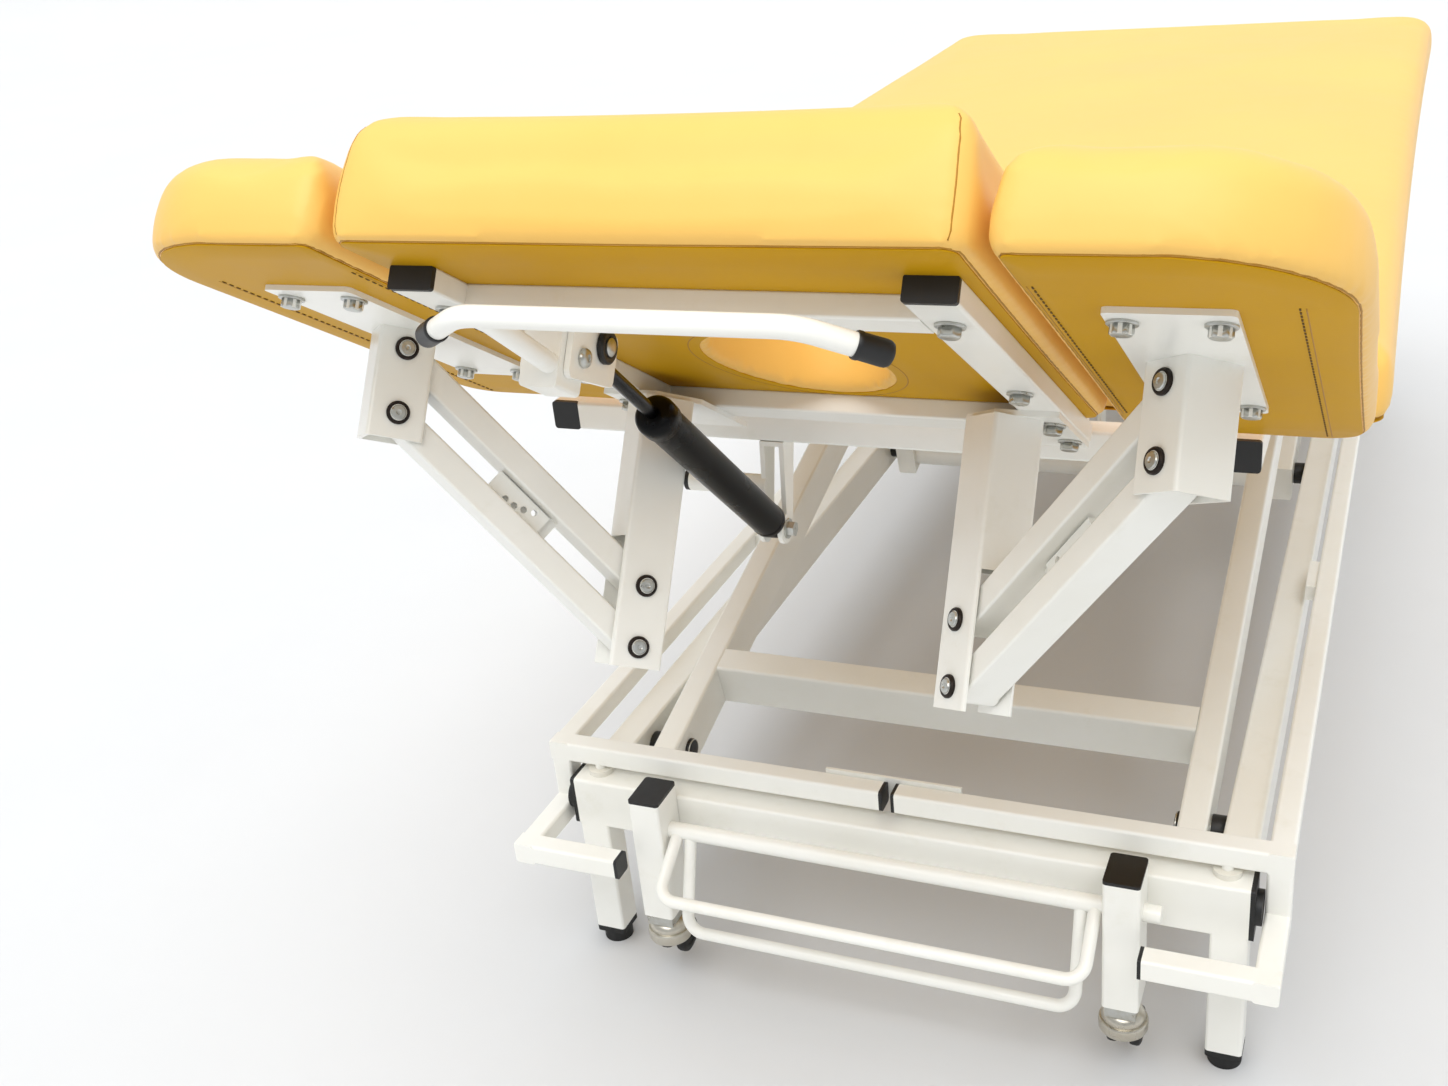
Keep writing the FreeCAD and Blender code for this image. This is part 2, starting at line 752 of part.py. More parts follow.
def lift_pin(place, inner_x, seat_x):
    """Pivot pin with its spacer bush and, where it shows, a round cap on the inner end."""
    outer_face = arm_spacing / 2 + arm_width / 2 + flat_gap
    shaft = rod_between(place + AXIS_X * inner_x, place + AXIS_X * seat_x, lift_pin_radius)
    bush = rod_between(place + AXIS_X * outer_face, place + AXIS_X * seat_x, lift_bush_radius)
    pieces = [shaft, bush]
    inner_face = arm_spacing / 2 - arm_width / 2
    if inner_x < inner_face:
        cap_place = place + AXIS_X * inner_x
        pieces.append(Part.makeCylinder(lift_cap_radius, lift_cap_thickness, cap_place, AXIS_X))
    return fused(pieces)


def lift_lower_pins():
    """Four pins that join the lift arms to the base rails."""
    seat_x = crossbar_length / 2 - base_rail_width
    inner_face = arm_spacing / 2 - arm_width / 2
    capped_x = inner_face - flat_gap - lift_cap_thickness
    front = lift_pin(along_arm(lower_pivot_place, 0), capped_x, seat_x)
    rear = lift_pin(along_arm(rear_lower_pivot_place, 0), inner_face + lift_cap_thickness, seat_x)
    return Part.makeCompound(both_sides(front) + both_sides(rear))


def lift_upper_pins():
    """Four pins that join the lift arms to the hangers of the top frame."""
    seat_x = main_frame_width / 2 - main_tube
    capped_x = arm_spacing / 2 - arm_width / 2 - flat_gap - lift_cap_thickness
    pins = []
    for pivot_y in (lower_pivot_place, rear_lower_pivot_place):
        pins += both_sides(lift_pin(along_arm(pivot_y, arm_length), capped_x, seat_x))
    return Part.makeCompound(pins)


def actuator_rod():
    """Rod of the lift actuator with a slotted eye round the lever pin."""
    tip = lever_tip()
    half = actuator_eye_width / 2
    eye_low = tip - Vec(half, actuator_eye_length / 2, actuator_eye_height / 2)
    eye_high = tip + Vec(half, actuator_eye_length / 2, actuator_eye_height / 2)
    rod_end = tip + AXIS_Y * (actuator_front_gap + actuator_rod_overlap)
    solid = box_between(eye_low, eye_high).fuse(rod_between(tip, rod_end, actuator_rod_radius))
    radius = lever_pin_radius + actuator_side_play
    across = AXIS_X * (half + overrun)
    cuts = []
    for play in (-actuator_slot_play, actuator_slot_play):
        centre = tip + AXIS_Z * play
        cuts.append(rod_between(centre - across, centre + across, radius))
    cuts.append(box_between(tip - across - Vec(0, radius, actuator_slot_play),
                            tip + across + Vec(0, radius, actuator_slot_play)))
    return solid.cut(cuts)


def actuator_body():
    """Lift actuator: round housing, motor case and the lugs that fix it to the rear crossbar."""
    tip = lever_tip()
    start = tip + AXIS_Y * actuator_front_gap
    end = start + AXIS_Y * actuator_body_length
    housing = rod_between(start, end, actuator_body_radius)
    motor_high = end + Vec(motor_width / 2, 0, actuator_body_radius)
    motor_low = motor_high - Vec(motor_width, motor_length, motor_height)
    crossbar_face = base_length - crossbar_depth
    lug_y = crossbar_face - actuator_lug_setback
    lug_low = crossbar_bottom + overrun
    points = [Vec(0, crossbar_face, lug_low), Vec(0, crossbar_face, crossbar_top - overrun),
              Vec(0, lug_y, crossbar_top - overrun), Vec(0, lug_y, end.z + actuator_body_radius),
              Vec(0, end.y - overrun, end.z + actuator_body_radius),
              Vec(0, end.y - overrun, end.z - actuator_body_radius),
              Vec(0, lug_y - actuator_lug_width, lug_low)]
    lug_start = actuator_lug_width / 2
    shifted = [point + AXIS_X * lug_start for point in points]
    lug = plate(shifted, actuator_lug_plate, AXIS_X)
    bridge = box_between(Vec(-lug_start, end.y - overrun, end.z - actuator_rod_radius),
                         Vec(lug_start, end.y + actuator_lug_plate, end.z + actuator_rod_radius))
    bore = Part.makeCylinder(actuator_rod_radius + bore_gap, actuator_bore_depth, start, AXIS_Y)
    pieces = [housing, box_between(motor_low, motor_high), bridge] + both_sides(lug)
    return fused(pieces).cut(bore)


def main_rail():
    """Right rail of the top frame with the two hangers that carry the upper pivots."""
    x = main_frame_width / 2 - main_tube / 2
    z = frame_bottom + main_tube / 2
    start = Vec(x, main_frame_front + cap_thickness, z)
    end = Vec(x, main_frame_front + main_frame_length - cap_thickness, z)
    pieces = [bar(start, end, main_tube, main_tube, AXIS_X)]
    for pivot_y in (front_upper_pivot_place, rear_upper_pivot_place):
        low = Vec(x, pivot_y, upper_pivot_height - hanger_end)
        pieces.append(bar(low, Vec(x, pivot_y, z), main_tube, hanger_depth, AXIS_X))
    return fused(pieces)


def main_cross(front_y):
    """Cross tube between the rails of the top frame."""
    half = main_frame_width / 2 - main_tube
    middle = Vec(0, front_y + main_tube / 2, frame_bottom + main_tube / 2)
    return bar(middle - AXIS_X * half, middle + AXIS_X * half, main_tube, main_tube, AXIS_Y)


def main_cross_front():
    """Front cross tube with the lugs and pins of the head section's hinge."""
    pieces = [main_cross(main_frame_front)]
    hinge = Vec(head_rail_spacing / 2, hinge_place, hinge_height)
    inside = hinge_ear_width / 2 + flat_gap
    for start in (inside, -inside - hinge_lug_width):
        low = Vec(hinge.x + start, hinge.y - hinge_ear_radius, frame_top - tube_corner)
        high = Vec(hinge.x + start + hinge_lug_width, hinge.y + hinge_ear_radius, hinge.z)
        lug = box_between(low, high)
        lug_place = Vec(low.x, hinge.y, hinge.z)
        lug_round = Part.makeCylinder(hinge_ear_radius, hinge_lug_width, lug_place, AXIS_X)
        pieces += both_sides(lug) + both_sides(lug_round)
    half_pin = inside + hinge_lug_width + hinge_head_width
    pin = rod_between(hinge - AXIS_X * half_pin, hinge + AXIS_X * half_pin, hinge_pin_radius)
    return fused(pieces + both_sides(pin))


def main_caps():
    """Black square caps on the ends of the top frame's rails and of the stop tube."""
    x = main_frame_width / 2 - main_tube / 2
    z = frame_bottom + main_tube / 2
    pieces = []
    for y in (main_frame_front, main_frame_front + main_frame_length - cap_thickness):
        cap = bar(Vec(x, y, z), Vec(x, y + cap_thickness, z), main_tube, main_tube, AXIS_X)
        pieces += both_sides(cap)
    stop_end = stop_tube_centre() - AXIS_X * stop_tube_length
    pieces.append(rod_between(stop_end - AXIS_X * cap_thickness, stop_end, stop_tube_radius))
    return Part.makeCompound(pieces)


def main_cushion():
    """Long cushion of the table."""
    half = table_width / 2
    rear = main_cushion_setback + main_cushion_length
    corners = [Vec(-half, main_cushion_setback, 0), Vec(half, main_cushion_setback, 0),
               Vec(half, rear, 0), Vec(-half, rear, 0)]
    radii = [main_corner_front, main_corner_front, main_corner_rear, main_corner_rear]
    return crowned_cushion(corners, radii, frame_top, main_cushion_height)


def gas_bolt_point():
    """Axis of the gas spring's lower bolt in the spring's plane."""
    return Vec(gas_plane, gas_bolt_place, gas_bolt_height)


def gas_pin_point():
    """Axis of the gas spring's upper pin in the spring's plane."""
    return head_point(gas_plane, gas_pin_s, gas_pin_lift)


def stop_tube_centre():
    """End of the stop tube on the left face of the gas spring's bracket."""
    left_face = gas_plane - gas_plate_gap / 2 - gas_plate_thickness
    return Vec(left_face, stop_tube_place, frame_top - stop_tube_drop)


def gas_bracket():
    """Two plates under the front cross tube for the gas spring's bolt, with the stop tube."""
    bolt = gas_bolt_point()
    pieces = []
    for start in (gas_plate_gap / 2, -gas_plate_gap / 2 - gas_plate_thickness):
        x = gas_plane + start
        points = [Vec(x, main_frame_front, frame_bottom), Vec(x, main_frame_front + main_tube, frame_bottom),
                  Vec(x, bolt.y + gas_plate_half_width, bolt.z), Vec(x, bolt.y, bolt.z)]
        pieces.append(plate(points, gas_plate_thickness, AXIS_X))
        disc_place = Vec(x, bolt.y, bolt.z)
        pieces.append(Part.makeCylinder(gas_plate_half_width, gas_plate_thickness, disc_place, AXIS_X))
    outer = stop_tube_centre()
    stop_end = outer + AXIS_X * gas_plate_thickness
    stop = rod_between(outer - AXIS_X * stop_tube_length, stop_end, stop_tube_radius)
    bridge_low = Vec(gas_plane - gas_plate_gap / 2, main_frame_front, frame_bottom - gas_plate_thickness)
    bridge_high = Vec(gas_plane + gas_plate_gap / 2, main_frame_front + main_tube, frame_bottom)
    across = AXIS_X * gas_plate_gap
    bore = rod_between(bolt - across, bolt + across, gas_bolt_radius + bore_gap)
    return fused(pieces + [stop, box_between(bridge_low, bridge_high)]).cut(bore)


def gas_bolt():
    """Bolt through the bracket and the lower eye of the gas spring."""
    bolt = gas_bolt_point()
    outside = gas_plate_gap / 2 + gas_plate_thickness
    left = bolt - AXIS_X * outside
    right = bolt + AXIS_X * outside
    shaft = rod_between(left, right, gas_bolt_radius)
    return fused([shaft, hex_bolt(left, AXIS_X * -1), hex_bolt(right, AXIS_X)])


def gas_cylinder():
    """Black gas cylinder with its collar and lower eye, bored for the rod."""
    bolt = gas_bolt_point()
    along = (gas_pin_point() - bolt).normalize()
    start = bolt + along * gas_cylinder_start
    end = bolt + along * gas_cylinder_end
    body = rod_between(start, end, gas_cylinder_radius)
    rim = body.Edges[0]
    for edge in body.Edges:
        if (edge.CenterOfMass - end).Length < rim.CenterOfMass.sub(end).Length:
            rim = edge
    body = body.makeChamfer(gas_collar_length / 4, [rim])
    neck = rod_between(bolt, start + along, gas_eye_radius - bore_gap)
    half_eye = AXIS_X * (gas_eye_width / 2)
    eye = rod_between(bolt - half_eye, bolt + half_eye, gas_eye_radius)
    neck = neck.common(box_between(bolt - half_eye - Vec(0, gas_cylinder_end, gas_cylinder_end),
                                   bolt + half_eye + Vec(0, gas_cylinder_end, gas_cylinder_end)))
    bolt_bore = rod_between(bolt - half_eye * 2, bolt + half_eye * 2, gas_bolt_radius + bore_gap)
    rod_bore = rod_between(end - along * gas_bore_length, end + along * overrun, gas_rod_radius + bore_gap)
    return fused([body, neck, eye]).cut([bolt_bore, rod_bore])


def gas_rod():
    """Polished rod with its upper eye and the headed pin that rides in the housing's cheeks."""
    bolt = gas_bolt_point()
    pin_centre = gas_pin_point()
    along = (pin_centre - bolt).normalize()
    rod_end = bolt + along * (gas_cylinder_end - gas_rod_overlap)
    rod = rod_between(rod_end, pin_centre, gas_rod_radius)
    half_eye = AXIS_X * (gas_top_eye_width / 2)
    eye = rod_between(pin_centre - half_eye, pin_centre + half_eye, gas_eye_radius)
    outside = AXIS_X * (cheek_gap / 2 + cheek_thickness + flat_gap)
    head = AXIS_X * gas_pin_head_height
    pin = rod_between(pin_centre - outside, pin_centre + outside, gas_pin_radius)
    right_head = rod_between(pin_centre + outside, pin_centre + outside + head, gas_pin_head_radius)
    left_head = rod_between(pin_centre - outside - head, pin_centre - outside, gas_pin_head_radius)
    return fused([rod, eye, pin, right_head, left_head])


def head_frame():
    """Head section frame: two rails, two cross tubes and the hinge ears, welded together."""
    x = head_rail_spacing / 2
    z = -head_rail_height / 2
    rail = bar(Vec(x, cap_thickness, z), Vec(x, head_rail_length, z),
               head_rail_width, head_rail_height, AXIS_X, head_tube_corner)
    pieces = both_sides(rail)
    half = x - head_rail_width / 2
    crosses = ((head_cross_front_place, head_cross_front_width),
               (head_cross_rear_place, head_cross_rear_width))
    for place, width in crosses:
        middle = Vec(0, place + width / 2, z)
        pieces.append(bar(middle - AXIS_X * half, middle + AXIS_X * half, width, head_rail_height,
                          AXIS_Y, head_tube_corner))
    ear_x = x - hinge_ear_width / 2
    root = head_rail_length - hinge_ear_radius
    floor = hinge_lift - hinge_ear_radius
    points = [Vec(ear_x, root, z), Vec(ear_x, head_rail_length - head_tube_corner, z),
              Vec(ear_x, head_rail_length, floor), Vec(ear_x, hinge_setback, floor),
              Vec(ear_x, hinge_setback, hinge_lift + hinge_ear_radius), Vec(ear_x, root, 0)]
    ear = plate(points, hinge_ear_width, AXIS_X)
    ear_place = Vec(ear_x, hinge_setback, hinge_lift)
    ear_round = Part.makeCylinder(hinge_ear_radius, hinge_ear_width, ear_place, AXIS_X)
    pin_place = Vec(ear_x - overrun, hinge_setback, hinge_lift)
    bore_length = hinge_ear_width + 2 * overrun
    pin_bore = Part.makeCylinder(hinge_pin_radius + bore_gap, bore_length, pin_place, AXIS_X)
    pieces += both_sides(ear) + both_sides(ear_round)
    return tilted(fused(pieces).cut(both_sides(pin_bore)))


def head_caps():
    """Black caps in the front ends of the head section's rails."""
    start = Vec(head_rail_spacing / 2, 0, -head_rail_height / 2)
    end = start + AXIS_Y * cap_thickness
    cap = bar(start, end, head_rail_width, head_rail_height, AXIS_X, head_tube_corner)
    return tilted(Part.makeCompound(both_sides(cap)))


def head_cushion():
    """Head cushion with the oval face hole."""
    half = head_cushion_width / 2
    corners = [Vec(-half, head_cushion_front, 0), Vec(half, head_cushion_front, 0),
               Vec(half, head_cushion_rear, 0), Vec(-half, head_cushion_rear, 0)]
    pad = crowned_cushion(corners, [head_cushion_corner] * len(corners), 0, head_cushion_height)
    oval_centre = Vec(0, face_hole_place, -overrun)
    oval = Part.Ellipse(oval_centre, face_hole_length / 2, face_hole_width / 2).toShape()
    oval.rotate(Vec(0, face_hole_place, 0), AXIS_Z, 90)
    hole = Part.Face(Part.Wire([oval])).extrude(AXIS_Z * (head_cushion_height + 2 * overrun))
    return tilted(pad.cut(hole))


def head_bolts():
    """Bolt heads under the head section's rails and post plates."""
    x = head_rail_spacing / 2
    down = AXIS_Z * -1
    bolts = []
    for s in rail_bolt_places:
        bolts += both_sides(hex_bolt(Vec(x, s, -head_rail_height), down))
    post_x = x + head_rail_width / 2 - post_bolt_inset
    for s in post_bolt_places:
        bolts += both_sides(hex_bolt(Vec(post_x, s, -head_rail_height - side_plate_thickness), down))
    return tilted(Part.makeCompound(bolts))


def side_directions():
    """Outward direction of the right armrest's links and the axis of their pins, seen from above."""
    return Vec(1, -1, 0).normalize(), Vec(1, 1, 0).normalize()


def side_pins(centre, upper_lift, side):
    """Two headed pins one above the other through a fork's cheeks."""
    half = side_tube / 2
    pieces = []
    for lift in (upper_lift, upper_lift - side_pin_spacing):
        middle = Vec(centre.x, centre.y, lift)
        pieces.append(rod_between(middle - side * half, middle + side * half, side_pin_radius))
        for turn in (1, -1):
            face = middle + side * (turn * half)
            head_end = face + side * (turn * side_pin_head_height)
            pieces.append(rod_between(face, head_end, side_pin_head_radius))
    return pieces


def side_post():
    """Right post under the head section: kinked plate, square tube and its open fork."""
    outward, side = side_directions()
    plate_top = -head_rail_height
    plate_under = plate_top - side_plate_thickness
    centre = Vec(side_post_place_x, side_post_place_s, 0)
    bottom = side_post_upper_pin - side_pin_spacing - side_post_end
    inner_gap = side_tube - 2 * side_tube_wall
    tube = bar(centre + AXIS_Z * bottom, centre + AXIS_Z * plate_under, side_tube, side_tube, side)
    hollow = bar(centre + AXIS_Z * (bottom - overrun), centre + AXIS_Z * plate_under,
                 inner_gap, inner_gap, side, side_tube_wall / 2)
    slot_low = centre + AXIS_Z * (bottom - overrun)
    slot_high = centre + AXIS_Z * side_post_slot
    slot = bar(slot_low, slot_high, inner_gap, side_tube + 2 * overrun, side, side_tube_wall / 2)
    points = [Vec(side_plate_inner, side_plate_front + side_plate_clip, plate_under),
              Vec(side_plate_inner + side_plate_clip, side_plate_front, plate_under),
              Vec(side_plate_outer, side_plate_front, plate_under),
              Vec(side_plate_outer, side_plate_rear, plate_under),
              Vec(side_plate_inner, side_plate_rear, plate_under)]
    top_plate = plate(points, side_plate_thickness, AXIS_Z)
    body = tube.cut([hollow, slot]).fuse(top_plate)
    return fused([body] + side_pins(centre, side_post_upper_pin, side))


def bracket_centre():
    """Middle of the right armrest's bracket, seen from above."""
    outward, side = side_directions()
    run = link_length * math.cos(math.radians(link_rise))
    return Vec(side_post_place_x, side_post_place_s, 0) + outward * run


def bracket_upper_pin():
    """Lift of the upper pin in the armrest's bracket."""
    return side_post_upper_pin + link_length * math.sin(math.radians(link_rise))


def link_point(lower, distance, above=0.0):
    """Point in the middle plane of a right link, measured from its pin in the post."""
    outward, side = side_directions()
    rise = math.radians(link_rise)
    pin_lift = side_post_upper_pin - (side_pin_spacing if lower else 0)
    base = Vec(side_post_place_x, side_post_place_s, pin_lift)
    flat = distance * math.cos(rise) - above * math.sin(rise)
    return base + outward * flat + AXIS_Z * (distance * math.sin(rise) + above * math.cos(rise))


def side_link(lower):
    """Right link between post and armrest bracket, with rounded and bored ends."""
    outward, side = side_directions()
    start = link_point(lower, 0)
    end = link_point(lower, link_length)
    half = side * (link_width / 2)
    pieces = [bar(start, end, link_width, link_height, side, head_tube_corner)]
    cuts = []
    for pin in (start, end):
        pieces.append(rod_between(pin - half, pin + half, link_height / 2))
        cuts.append(rod_between(pin - half * 2, pin + half * 2, side_pin_radius + bore_gap))
    return fused(pieces + [lock_plate(lower)]).cut(cuts)


def lock_plate(lower):
    """Plate in the gap between the two links, welded to one of them, with its lock holes."""
    outward, side = side_directions()
    turn = 1 if lower else -1
    place = lower_lock_place if lower else upper_lock_place
    length = lower_lock_length if lower else upper_lock_length
    shares = lower_lock_hole_shares if lower else upper_lock_hole_shares
    face = link_height / 2
    rise = side_pin_spacing * math.cos(math.radians(link_rise)) - link_height - lock_plate_gap
    middle = side * (-turn * lock_plate_offset)
    start = middle - side * (lock_plate_thickness / 2)
    points = []
    for distance, above in ((0, 0), (length, 0), (length, face + rise), (0, face + rise)):
        points.append(link_point(lower, place + distance, turn * above) + start)
    across = side * lock_plate_thickness
    holes = []
    for along_share, rise_share in shares:
        centre = link_point(lower, place + along_share * length, turn * (face + rise_share * rise)) + middle
        holes.append(rod_between(centre - across, centre + across, lock_hole_radius))
    return plate(points, lock_plate_thickness, side).cut(holes)


def armrest_bracket():
    """Bracket under the right armrest: bolted plate and a square tube open towards the links."""
    outward, side = side_directions()
    centre = bracket_centre()
    upper_pin = bracket_upper_pin()
    plate_under = armrest_under - side_plate_thickness
    bottom = upper_pin - side_pin_spacing - bracket_end
    inner_gap = side_tube - 2 * side_tube_wall
    tube = bar(centre + AXIS_Z * bottom, centre + AXIS_Z * plate_under, side_tube, side_tube, side)
    shift = outward * (-(side_tube_wall + overrun) / 2)
    deep = inner_gap + side_tube_wall + overrun
    hollow = bar(centre + AXIS_Z * (bottom - overrun) + shift, centre + AXIS_Z * plate_under + shift,
                 inner_gap, deep, side, side_tube_wall / 2)
    corners = ((armrest_plate_inner, armrest_plate_front), (armrest_plate_outer, armrest_plate_front),
               (armrest_plate_outer, armrest_plate_rear), (armrest_plate_inner, armrest_plate_rear))
    points = [Vec(x, s, plate_under) for x, s in corners]
    top_plate = plate(points, side_plate_thickness, AXIS_Z, [armrest_plate_corner] * len(points))
    pieces = [tube.cut(hollow), top_plate] + side_pins(centre, upper_pin, side)
    bolt_rows = (armrest_plate_front + armrest_bolt_inset_s, armrest_plate_rear - armrest_bolt_inset_s)
    for x in (armrest_plate_inner + armrest_bolt_inset_x, armrest_plate_outer - armrest_bolt_inset_x):
        for s in bolt_rows:
            pieces.append(hex_bolt(Vec(x, s, plate_under), AXIS_Z * -1))
    return fused(pieces)


def armrest_cushion():
    """Right armrest pad with its large rounded outer corners."""
    corners = [Vec(armrest_inner, armrest_front, 0), Vec(armrest_outer, armrest_front, 0),
               Vec(armrest_outer, armrest_rear, 0), Vec(armrest_inner, armrest_rear, 0)]
    radii = [armrest_corner_inner, armrest_corner_front, armrest_corner_rear, armrest_corner_inner]
    return crowned_cushion(corners, radii, armrest_under, armrest_height)


def release_housing():
    """Two cheeks under the front cross tube that hold the release box and the gas spring's pin."""
    top = -head_rail_height
    pieces = []
    for x in (cheek_right, cheek_left - cheek_thickness):
        points = [Vec(x, cheek_front, top), Vec(x, cheek_rear, top),
                  Vec(x, cheek_rear, cheek_under + cheek_corner), Vec(x, cheek_front, cheek_under)]
        radii = [cheek_corner / 5, cheek_corner, cheek_corner, cheek_corner]
        pieces.append(plate(points, cheek_thickness, AXIS_X, radii))
    bridge_low = Vec(cheek_left, cheek_front + cheek_corner, top - cheek_thickness)
    bridge_high = Vec(cheek_right, cheek_rear - cheek_corner, top)
    bridge = box_between(bridge_low, bridge_high)
    hole_centre = Vec(gas_plane, gas_pin_s, gas_pin_lift)
    across = AXIS_X * (cheek_gap / 2 + cheek_thickness + overrun)
    hole = rod_between(hole_centre - across, hole_centre + across, gas_pin_radius + gas_pin_play)
    eye_room = AXIS_X * (gas_top_eye_width / 2 + cheek_thickness / 2)
    room = rod_between(hole_centre - eye_room, hole_centre + eye_room, gas_eye_radius + gas_pin_play)
    pivot = Vec(gas_plane, release_pin_s, release_pin_lift)
    outside = AXIS_X * (cheek_gap / 2 + cheek_thickness)
    pin = rod_between(pivot - outside, pivot + outside, release_pin_radius)
    head = AXIS_X * release_pin_head_height
    right_head = rod_between(pivot + outside, pivot + outside + head, release_pin_head_radius)
    left_head = rod_between(pivot - outside - head, pivot - outside, release_pin_head_radius)
    body = fused(pieces + [bridge]).cut([hole, room])
    return tilted(fused([body, pin, right_head, left_head]))


def handle_points():
    """Corner points of the release handle's tube, flat in the head section."""
    return [Vec(-handle_half_width, handle_end_s, handle_end_drop),
            Vec(-handle_half_straight, handle_front, handle_drop),
            Vec(handle_half_straight, handle_front, handle_drop),
            Vec(handle_half_width, handle_end_s, handle_end_drop)]


def release_handle():
    """Bent tube handle with its stem and the box that turns between the cheeks."""
    tube = bent_rod(handle_points(), handle_bend_radius, handle_radius)
    stem_x = gas_plane + handle_stem_offset
    stem_high = (release_box_top + release_box_under * 2) / 3
    stem_start = Vec(stem_x, handle_front, handle_drop)
    stem = rod_between(stem_start, Vec(stem_x, release_pin_s, stem_high), handle_radius)
    middle = (release_box_top + release_box_under) / 2
    height = release_box_top - release_box_under
    width = cheek_gap - 2 * flat_gap
    box = bar(Vec(gas_plane, release_box_front, middle), Vec(gas_plane, release_box_rear, middle),
              width, height, AXIS_X, release_box_corner)
    pivot = Vec(gas_plane, release_pin_s, release_pin_lift)
    across = AXIS_X * cheek_gap
    bore = rod_between(pivot - across, pivot + across, release_pin_radius + bore_gap)
    return tilted(fused([tube, stem, box]).cut(bore))


def handle_grips():
    """Black caps pushed over the two ends of the release handle."""
    tube = bent_rod(handle_points(), handle_bend_radius, handle_radius)
    points = handle_points()
    grips = []
    for end, corner in ((points[0], points[1]), (points[-1], points[-2])):
        inward = (corner - end).normalize()
        start = end - inward * (grip_radius - handle_radius)
        grips.append(rod_between(start, start + inward * grip_length, grip_radius).cut(tube))
    return tilted(Part.makeCompound(grips))


def corner_nodes(nodes, name, shape):
    """Add a piece at the four corners of the base under its own name."""
    front_right, front_left = both_sides(shape)
    nodes[name + "_front_right"] = front_right
    nodes[name + "_front_left"] = front_left
    nodes[name + "_rear_right"] = mirrored_y(front_right)
    nodes[name + "_rear_left"] = mirrored_y(front_left)


def side_nodes(nodes, name, shape):
    """Add a piece of the right side and its copy on the left."""
    nodes[name + "_right"] = shape
    nodes[name + "_left"] = mirrored_x(shape)


def base_nodes(nodes):
    """Base frame, foot ring, pedals and casters."""
    end = base_end()
    nodes["base_end_front"] = end
    nodes["base_end_rear"] = mirrored_y(end)
    side_nodes(nodes, "base_rail", base_rail())
    nodes["base_caps"] = base_caps()
    nodes["level_feet"] = level_feet()
    nodes["ring_pucks"] = ring_pucks()
    side_nodes(nodes, "foot_ring", foot_ring_half())
    nodes["ring_plates"] = ring_plates()
    nodes["ring_caps"] = ring_caps()
    front_pedal = pedal()
    nodes["pedal_front"] = front_pedal
    nodes["pedal_rear"] = mirrored_y(front_pedal)
    corner_nodes(nodes, "caster_slide", caster_slide())
    corner_nodes(nodes, "caster_swivel", caster_swivel())
    corner_nodes(nodes, "caster_wheels", caster_wheels())


def lift_nodes(nodes):
    """Lift arms, their pins and the actuator."""
    nodes["lift_frame_front"] = front_lift_frame()
    nodes["lift_frame_rear"] = rear_lift_frame()
    nodes["lift_lower_pins"] = lift_lower_pins()
    nodes["lift_upper_pins"] = lift_upper_pins()
    nodes["actuator_body"] = actuator_body()
    nodes["actuator_rod"] = actuator_rod()


def top_nodes(nodes):
    """Top frame, main cushion and the gas spring's lower mounting."""
    side_nodes(nodes, "main_rail", main_rail())
    nodes["main_cross_front"] = main_cross_front()
    nodes["main_cross_middle"] = main_cross(main_cross_middle_place)
    rear_cross_y = main_frame_front + main_frame_length - cap_thickness - 2 * main_tube
    nodes["main_cross_rear"] = main_cross(rear_cross_y)
    nodes["main_caps"] = main_caps()
    nodes["main_cushion"] = main_cushion()
    nodes["gas_bracket"] = gas_bracket()
    nodes["gas_bolt"] = gas_bolt()
    nodes["gas_cylinder"] = gas_cylinder()
    nodes["gas_rod"] = gas_rod()


def head_nodes(nodes):
    """Head section, its release handle and the two armrests."""
    nodes["head_frame"] = head_frame()
    nodes["head_caps"] = head_caps()
    nodes["head_cushion"] = head_cushion()
    nodes["head_bolts"] = head_bolts()
    nodes["release_housing"] = release_housing()
    nodes["release_handle"] = release_handle()
    nodes["handle_grips"] = handle_grips()
    for name, shape in (("side_post", side_post()), ("upper_link", side_link(False)),
                        ("lower_link", side_link(True)), ("armrest_bracket", armrest_bracket()),
                        ("armrest_cushion", armrest_cushion())):
        nodes[name + "_right"] = tilted(shape)
        nodes[name + "_left"] = tilted(mirrored_x(shape))


def centre_shift(nodes):
    """Step along Y that brings the middle of the whole table to the origin."""
    boxes = [shape.optimalBoundingBox(False, False) for shape in nodes.values()]
    return -(min(box.YMin for box in boxes) + max(box.YMax for box in boxes)) / 2


def build():
    """Every node of the table in its place, and the step along Y that was applied."""
    nodes = {}
    base_nodes(nodes)
    lift_nodes(nodes)
    top_nodes(nodes)
    head_nodes(nodes)
    shift = centre_shift(nodes)
    moved = {}
    for name, shape in nodes.items():
        copy = shape.copy()
        copy.translate(Vec(0, shift, 0))
        moved[name] = copy
    return moved, shift


def main():
    """Write one STEP file for each node."""
    os.makedirs("parts", exist_ok=True)
    nodes, shift = build()
    for name, shape in nodes.items():
        shape.exportStep("parts/" + name + ".step")
        print(name, len(shape.Solids), shape.isValid(), round(shape.Volume))
    print("nodes", len(nodes), "shift along Y", round(shift, 3))


if __name__ == "__main__":
    main()
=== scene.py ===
"""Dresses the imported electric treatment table: upholstery, fasteners, finishes and studio.

Lengths are in metres in the row frame: X across the table, Y from the head end to the
foot end, Z up. Lengths in the frame of the head section are (x, s, lift): across, along
the section from the front of its rails, and above the tops of its rails.
"""
import json
import logging
import math
from dataclasses import dataclass
from enum import Enum
from typing import Callable, Optional, Sequence

import bmesh
import bpy
import numpy as np
from mathutils import Matrix, Vector


